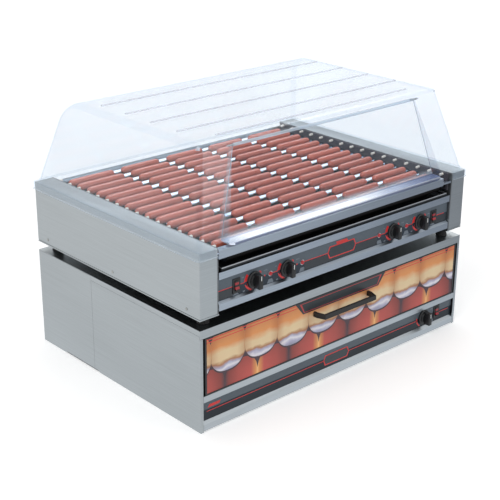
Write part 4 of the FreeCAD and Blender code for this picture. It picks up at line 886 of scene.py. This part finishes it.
def knob_piece(node, black, white):
    """Bar-grip knob: bevelled skirt, round hub, thick grip and a white pointer line."""
    a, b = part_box(node)
    middle = centre(node)
    # The skirts seen are smaller and the grips longer than those of the CAD knobs
    rim = (b.x - a.x) / 2 - 2 * MM
    grip_front = a.y - 6 * MM
    # The spindle reaches back behind the skirt, so the skirt's back lies a fixed way from the front
    skirt_back = a.y + 20 * MM
    grip_back = skirt_back - 4 * MM
    spindle = b.y - skirt_back
    seat = (middle.x, skirt_back, middle.z)
    bm = bmesh.new()
    spun(bm, [(-0.4 * MM, 3 * MM), (0, rim - 1.5 * MM), (1.2 * MM, rim), (3.6 * MM, rim),
              (5 * MM, rim - 1.6 * MM), (5.6 * MM, rim - 4 * MM), (9 * MM, rim - 4.6 * MM),
              (10 * MM, rim - 6 * MM), (10 * MM, 0)], seat, (0, -1, 0), steps=48)
    spun(bm, [(0, 3 * MM), (spindle, 3 * MM), (spindle, 0)], seat, (0, 1, 0), steps=20)
    at = Matrix.Translation((middle.x, (grip_front + grip_back) / 2, middle.z))
    size = Matrix.Diagonal((12 * MM, grip_back - grip_front, 35 * MM, 1))
    grip = bmesh.ops.create_cube(bm, size=1, matrix=at @ size)["verts"]
    corners = [edge for edge in bm.edges if edge.verts[0] in grip and edge.verts[1] in grip]
    bmesh.ops.bevel(bm, geom=corners, offset=2.2 * MM, segments=3, profile=0.5, affect="EDGES", material=-1)
    soften(bm)
    strip(bm, (middle.x - 1.1 * MM, middle.x + 1.1 * MM), (middle.z + 4 * MM, middle.z + 15 * MM),
          grip_front - 0.02 * MM, 0.5 * MM, slot=1)
    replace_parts(finish_mesh(f"{node}_shown", bm, [black, white], body_of(node)), node)


def lamp_pieces(lens, bright):
    """Domed lenses in bright collars over the pilot lamps."""
    face = low("control_overlay").y
    z = centre("indicator_lights").z
    radius = half_height("indicator_lights")
    outer = high("indicator_lights").x - radius
    inner = outer - 2 * LAMP_OFFSET
    bm = bmesh.new()
    for x in (-outer, -inner, inner, outer):
        spun(bm, [(0, radius), (2 * MM, radius), (3.2 * MM, radius * 0.8), (4 * MM, radius * 0.45),
                  (4.3 * MM, 0)], (x, face, z), (0, -1, 0), steps=24)
        spun(bm, [(0, radius), (14 * MM, radius), (14 * MM, 0)], (x, face, z), (0, 1, 0), steps=24)
    soften(bm)
    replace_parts(finish_mesh("pilot_lamps", bm, [lens], "casing"), "indicator_lights")
    collar = 1.5 * MM
    proud = 0.5 * MM
    bm = bmesh.new()
    for x in (-outer, -inner, inner, outer):
        arc_band(bm, (x, z), radius, radius + collar, 0, 360, face - proud, proud, steps=32)
    slot_piece("pilot_lamp_collars", bm, [bright], "casing")


def heat_arcs(bm, middle, y):
    """The two red bows to the left of a grill knob, each swelling towards its upper end."""
    steps = 12
    # Angles of the lower and the upper end, the widths there and the radius
    for start, end, thin, wide, radius in ((190, 262, 1.6, 6.8, 24.6), (178, 139, 7.4, 8.2, 24.8)):
        inner, outer = [], []
        for index in range(steps + 1):
            share = index / steps
            turn = math.radians(end + (start - end) * share)
            half = (wide + (thin - wide) * (1 - share)) / 2
            for side, rim in ((-half, inner), (half, outer)):
                reach = (radius + side) * MM
                rim.append((middle[0] + reach * math.cos(turn), middle[1] + reach * math.sin(turn)))
        plate(bm, outer + inner[::-1], y, PRINT)


def badge_piece(name, middle, half, bulge, height, y, red):
    """Badge: dark six-sided field with a red outline.

    half is half its width without the bulge of its pointed ends, and height is half its height.
    """
    bm = bmesh.new()
    thick = 0.08 * MM
    for slot, inset in enumerate((0, 2.6 * MM)):
        x, up = half - inset, height - inset
        corners = [(middle[0] + right, middle[1] + rise) for right, rise in (
            (-x, -up), (x, -up), (x + bulge, 0), (x, up), (-x, up), (-x - bulge, 0))]
        plate(bm, corners, y - thick * slot, thick, slot)
    printed(name, bm, red, print_ink(f"dark field of {name}", linear("#262f37")))


def printed(name, bm, *inks):
    """Turn a bmesh into print on a control film."""
    slot_piece(name, bm, inks, "casing")


class GRILL_OT_controls(bpy.types.Operator):
    """Dress both control panels: film, print, knobs, switches and lamps"""

    bl_idname = "grill.controls"
    bl_label = "Controls"

    def execute(self, context):
        finish = context.scene.grill_finish
        black = moulded_plastic("black knob phenolic", linear("#0f1114"), 0.45)
        white = print_ink("white pointer ink", linear("#e9ecee"))
        red = print_ink("red print", finish.red)
        for node, line, below in (
            ("control_overlay", centre("indicator_lights").z, finish.film_lower),
            ("warmer_overlay", centre("warmer_knob").z, shade(finish.film_lower, 0.55)),
        ):
            name = f"printed film of {node}"
            assign(printed_film(name, finish.film_upper, below, line, half_height(node)), node)
        for node in ("grill_knob_1", "grill_knob_2", "grill_knob_3", "grill_knob_4", "warmer_knob"):
            knob_piece(node, black, white)
        for node in ("grill_switch_left", "grill_switch_right", "warmer_switch"):
            name = f"two-tone rocker of {node}"
            middle, reach = centre(node).z, half_height(node)
            assign(rocker_plastic(name, linear("#a5262e"), linear("#0f1114"), middle, reach), node)
        bright = mill_steel("bright collar", linear("#c9cdd0"), 0.3)
        lamp_pieces(lamp_lens("red pilot lens", linear("#b61f28")), bright)
        grey = print_ink("grey fields", linear("#6e7883"), 0.4)
        self.print_grill_panel(red, grey)
        self.print_warmer_panel(red, grey)
        return {"FINISHED"}

    def print_grill_panel(self, red, grey):
        """Red line, heat arcs, marks, grey fields and the badge of the upper panel."""
        a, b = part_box("control_overlay")
        y = a.y - PRINT
        z = centre("indicator_lights").z
        knobs = [centre(f"grill_knob_{index}").x for index in (1, 2, 3, 4)]
        lamps = [knobs[1] - LAMP_OFFSET, knobs[3] - LAMP_OFFSET,
                 knobs[1] + LAMP_OFFSET, knobs[2] - LAMP_OFFSET]
        switches = [centre(f"grill_switch_{side}").x for side in ("left", "right")]
        # How far the red line stays from the middle of a knob, a lamp, a switch and the badge
        knob, lamp, switch, badge = 27 * MM, 6 * MM, 10 * MM, 49 * MM
        bm = bmesh.new()
        for span in ((a.x + 1 * MM, switches[0] - switch), (switches[0] + switch, knobs[0] - knob),
                     (lamps[0] + lamp, knobs[1] - knob), (lamps[2] + lamp, -badge), (badge, lamps[3] - lamp),
                     (lamps[3] + lamp, knobs[2] - knob), (lamps[1] + lamp, knobs[3] - knob),
                     (switches[1] + switch, b.x - 12 * MM)):
            strip(bm, span, (z - 0.9 * MM, z + 0.9 * MM), y, PRINT)
        for x in knobs:
            heat_arcs(bm, (x, z), y)
            plate(bm, metres((16.5, 15), (21.5, 9.5), (24, 11.5), (19, 17), x=x, z=z), y, PRINT)
            disc(bm, (x + 33.5 * MM, z), 2.1 * MM, y, PRINT)
        printed("grill_panel_print", bm, red)

        bm = bmesh.new()
        foot = a.z + 1 * MM
        for x in lamps:
            trapezium(bm, x, 10.5 * MM, 5.5 * MM, (foot, z - 13 * MM), y, PRINT)
        for x in switches:
            trapezium(bm, x - 1 * MM, 9 * MM, 5 * MM, (foot, z - 18 * MM), y, PRINT)
        for x in knobs:
            for left, right, under, over in ((-36, -30, 12, 15), (-33, -27, -22, -19), (30, 41, 11, 14)):
                strip(bm, (x + left * MM, x + right * MM), (z + under * MM, z + over * MM), y, PRINT)
        for span in ((a.x + 1 * MM, switches[0] - 10 * MM), (-126 * MM, 126 * MM),
                     (switches[1] + 12 * MM, b.x - 1 * MM)):
            strip(bm, span, (foot, z - 2 * MM), y, PRINT, slot=1)
        printed("grill_panel_fields", bm, grey, print_ink("dark fields", linear("#272e35")))
        badge_piece("grill_badge", (0, z), 42.5 * MM, 6.5 * MM, 15.5 * MM, y - PRINT, red)
        bm = bmesh.new()
        plate(bm, metres((-17, 15.2), (21, 15.2), (17, 22.5), (-21, 22.5), z=z), y, PRINT)
        printed("grill_badge_tab", bm, red)

    def print_warmer_panel(self, red, grey):
        """Red line, heat arcs, badge and red tag of the lower panel."""
        a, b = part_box("warmer_overlay")
        y = a.y - PRINT
        knob = centre("warmer_knob")
        x, z = knob.x, knob.z
        switch = centre("warmer_switch").x
        badge, half = -6 * MM, 46 * MM
        line = a.z + 21.5 * MM
        bm = bmesh.new()
        for span in ((a.x + 14 * MM, badge - half), (badge + half, x - 24 * MM),
                     (switch + 10 * MM, b.x - 12 * MM)):
            strip(bm, span, (line - 0.8 * MM, line + 0.8 * MM), y, PRINT)
        arc_band(bm, (x, z), 24 * MM, 28 * MM, 176, 196, y, PRINT)
        arc_band(bm, (x, z), 24.5 * MM, 28 * MM, 200, 240, y, PRINT)
        plate(bm, metres((-425, 9), (-390, 9), (-385, 16), (-420, 16), z=line), y, PRINT)
        printed("warmer_panel_print", bm, red)
        bm = bmesh.new()
        trapezium(bm, x + 35 * MM, 7 * MM, 3 * MM, (a.z + 2 * MM, z - 12 * MM), y, PRINT)
        strip(bm, (x + 26 * MM, x + 38 * MM), (z + 11 * MM, z + 14 * MM), y, PRINT)
        printed("warmer_panel_fields", bm, grey)
        badge_piece("warmer_badge", (badge, line), 40 * MM, 5.5 * MM, 14 * MM, y - PRINT, red)


# Drawer


# Slots of the inks of the drawer's print
GROUND, OUTLINE, UPPER, LOWER, LINES = range(5)
# The upper row's first crest lies this share of its pitch outside the print
FIRST_CREST = 0.38


class GRILL_OT_drawer(bpy.types.Operator):
    """Finish the drawer: scalloped print, dark plate, frame and handle"""

    bl_idname = "grill.drawer"
    bl_label = "Drawer"

    def execute(self, context):
        art = context.scene.grill_drawer
        assign(moulded_plastic("black drawer frame", linear("#24272a"), 0.45), "drawer_front")
        smooth_copy("drawer_handle", moulded_plastic("black handle nylon", linear("#08090a"), 0.5))
        a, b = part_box("drawer_front")
        border = 5 * MM
        face = a.y + 1 * MM
        left, right = a.x + border, b.x - border
        bottom, top = a.z + border / 2, b.z - border / 2
        bm = bmesh.new()
        strip(bm, (left, right), (bottom, top), face - 0.1 * MM, 0.1 * MM, slot=GROUND)
        self.scallops(bm, left, right, bottom, top, face, art)
        for z in (top - 10 * MM, top - 3 * MM):
            for span in ((left, -150 * MM), (150 * MM, right)):
                strip(bm, span, (z - 1.1 * MM, z + 1.1 * MM), face - 0.75 * MM, 0.05 * MM, slot=LINES)
        self.trim(bm, left, right, bottom, top)
        slot_piece("drawer_scallops", bm, self.inks(left, bottom, top, art), "drawer")
        self.title_plate(top, face)
        return {"FINISHED"}

    def scallops(self, bm, left, right, bottom, top, face, art):
        """Two rows of overlapping scallops, the upper row hanging over the lower one."""
        # Neighbours in a row lie on two levels, so that one overlaps the next
        half = art.seam_pitch / 2
        first = math.ceil((left - art.seam) / half)
        for index in range(first - 1, math.ceil((right - art.seam) / half) + 1):
            x = art.seam + half * (index + 0.5)
            y = face - (0.22 + 0.06 * (index % 2)) * MM
            oval(bm, (x, bottom + 2 * MM), half * 0.505, 55 * MM, y, 0.03 * MM, slot=LOWER)
        thick = 0.04 * MM
        for index in range(int((right - left) / art.pitch) + 3):
            x = left + art.pitch * (index - FIRST_CREST)
            y = face - (0.42 + 0.1 * ((index + 1) % 2)) * MM
            sink = 3 * MM * ((index % 3) - 1)
            oval(bm, (x, top - 42 * MM + sink), art.pitch * 0.525, 58.5 * MM, y, thick, slot=OUTLINE)
            oval(bm, (x, top - 40 * MM + sink), art.pitch * 0.515, 56 * MM, y - thick, thick, slot=UPPER)

    def trim(self, bm, left, right, bottom, top):
        """Cut the print off at its four edges and close the cuts."""
        for point, outward in (((left, 0, 0), (-1, 0, 0)), ((right, 0, 0), (1, 0, 0)),
                               ((0, 0, bottom), (0, 0, -1)), ((0, 0, top), (0, 0, 1))):
            cut = bmesh.ops.bisect_plane(bm, geom=[*bm.verts, *bm.edges, *bm.faces], plane_co=point,
                                         plane_no=outward, clear_outer=True)
            rim = [item for item in cut["geom_cut"] if isinstance(item, bmesh.types.BMEdge)]
            bmesh.ops.holes_fill(bm, edges=rim)

    def inks(self, left, bottom, top, art):
        """The inks of the print in the order of their slots."""

        def rising(*stops):
            """Stops given in millimetres above the print's lower edge."""
            return [(bottom + up * MM, tone) for up, tone in stops]

        crest = left - FIRST_CREST * art.pitch
        outline = rising((0, art.ground), (62, art.ground), (84, art.outline))
        outline.append((top, art.outline))
        upper = rising((36, shade(art.lilac, 0.7)), (44, art.lilac), (52, art.white), (59, art.lilac),
                       (65, shade(art.outline, 0.8)), (72, art.cream), (88, art.cream), (106, art.gold))
        upper.append((top, shade(art.gold, 0.8)))
        upper_across = [(0.0, WHITE), (0.55, linear("#fdfaf9")), (1.0, linear("#e2cec4"))]
        lower = rising((0, shade(WHITE, 1.1)), (25, WHITE), (55, shade(WHITE, 0.75)))
        lower_across = [(0.0, art.glow), (0.06, shade(art.gold, 0.9)), (0.2, shade(art.brick, 1.25)),
                        (0.6, art.brick), (0.88, shade(art.brick, 0.6)), (1.0, art.ground)]
        return (print_ink("panel ground ink", art.ground),
                graded_ink("scallop outline ink", outline, crest, art.pitch, [(0, WHITE), (1, WHITE)]),
                graded_ink("upper scallop ink", upper, crest, art.pitch, upper_across),
                graded_ink("lower scallop ink", lower, art.seam, art.seam_pitch, lower_across),
                print_ink("thin line ink", art.line))

    def title_plate(self, top, face):
        """Dark plate with a red outline, above the handle; each layer lies on the one before."""
        thick = 0.05 * MM
        y = face - 0.85 * MM
        bm = bmesh.new()
        # Insets of the foot and of the longer top, in millimetres
        for inset, upper_inset, slot in ((0, 0, 0), (3, 13.2, 1), (4.6, 20.24, 0)):
            trapezium(bm, 0, (132 - inset) * MM, (157 - upper_inset) * MM,
                      (top - (31 - inset) * MM, top - inset * MM), y, thick, slot)
            y -= thick
        dark = print_ink("title plate ink", linear("#262c31"))
        red = print_ink("title outline ink", linear("#b8383b"))
        slot_piece("drawer_title_plate", bm, [dark, red], "drawer")


# Food


class GRILL_OT_frankfurters(bpy.types.Operator):
    """Lay the frankfurters between the rollers"""

    bl_idname = "grill.frankfurters"
    bl_label = "Frankfurters"

    def execute(self, context):
        food = context.scene.grill_food
        rollers = roller_nodes()
        axes = [centre(node) for node in rollers]
        tube = half_height(rollers[0])
        pitch = axes[1].y - axes[0].y
        gap = 0.3 * MM
        lift = math.sqrt((tube + food.radius + gap) ** 2 - (pitch / 2) ** 2)
        draw = random.Random(7)
        bm = bmesh.new()
        roast_and_shade = bm.verts.layers.float.new("roast_and_shade")
        for before, after in zip(axes, axes[1:]):
            for column in range(food.columns):
                x = food.pitch * (column - (food.columns - 1) / 2) + draw.uniform(-2, 2) * MM
                middle = Vector((x, (before.y + after.y) / 2, before.z + lift))
                span = food.span * draw.uniform(0.97, 1.02)
                if column == 0:
                    span += food.first_reach
                    middle.x -= food.first_reach / 2
                self.sausage(bm, roast_and_shade, draw, middle, span, food.radius)
        for face in bm.faces:
            face.smooth = True
        skin = sausage_skin("cooked frankfurter", food.skin)
        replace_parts(finish_mesh("frankfurters_shown", bm, [skin], "casing"), "frankfurters")
        return {"FINISHED"}

    def sausage(self, bm, roast_and_shade, draw, middle, span, radius):
        """One frankfurter along X with round ends and a slight bow."""
        known = set(bm.verts)
        cap = radius * 1.15
        rings = 5
        end = []
        for index in range(rings + 1):
            turn = math.pi / 2 * index / rings
            end.append((-span / 2 + cap * (1 - math.cos(turn)), radius * math.sin(turn)))
        other_end = [(-along, size) for along, size in reversed(end)]
        spun(bm, end + other_end, middle, (1, 0, 0), steps=14)
        bow = draw.uniform(-1.0, 1.4) * MM
        phase = draw.uniform(0, math.tau)
        level = draw.uniform(-0.06, 0.1)
        for vert in bm.verts:
            if vert in known:
                continue
            share = (vert.co.x - middle.x) / (span / 2)
            vert.co.z += bow * (1 - share * share) * 0.5
            vert.co.y += draw.uniform(-0.12, 0.12) * MM
            # Painted light and shade, partly browning: lightest on top and brownest underneath, where it lay
            # on the tube
            around = math.atan2(vert.co.z - middle.z, vert.co.y - middle.y)
            vert[roast_and_shade] = 0.27 + level + 0.33 * math.sin(around) + 0.06 * math.cos(around * 2 + phase)


# Add-on


PIECES = (
    GRILL_OT_stage,
    GRILL_OT_casing,
    GRILL_OT_rollers,
    GRILL_OT_hood,
    GRILL_OT_controls,
    GRILL_OT_drawer,
    GRILL_OT_frankfurters,
)


class GRILL_PT_pieces(bpy.types.Panel):
    """Buttons for each group of pieces."""

    bl_idname = "GRILL_PT_pieces"
    bl_label = "Roller grill"
    bl_space_type = "VIEW_3D"
    bl_region_type = "UI"
    bl_category = "Roller grill"

    def draw(self, context):
        for piece in PIECES:
            self.layout.operator(piece.bl_idname)


SETTINGS = {
    "grill_finish": GrillFinish,
    "grill_drawer": DrawerPanel,
    "grill_food": Frankfurters,
    "grill_studio": Studio,
}


def register():
    """Add the classes and the scene's settings to Blender."""
    for item in (*SETTINGS.values(), *PIECES, GRILL_PT_pieces):
        bpy.utils.register_class(item)
    for name, group in SETTINGS.items():
        setattr(bpy.types.Scene, name, bpy.props.PointerProperty(type=group))


def unregister():
    """Take the settings and classes out again."""
    for name in SETTINGS:
        delattr(bpy.types.Scene, name)
    for item in reversed((*SETTINGS.values(), *PIECES, GRILL_PT_pieces)):
        bpy.utils.unregister_class(item)


def main():
    """Build every piece."""
    register()
    for piece in PIECES:
        group, name = piece.bl_idname.split(".")
        getattr(getattr(bpy.ops, group), name)()


if __name__ == "__main__":
    main()
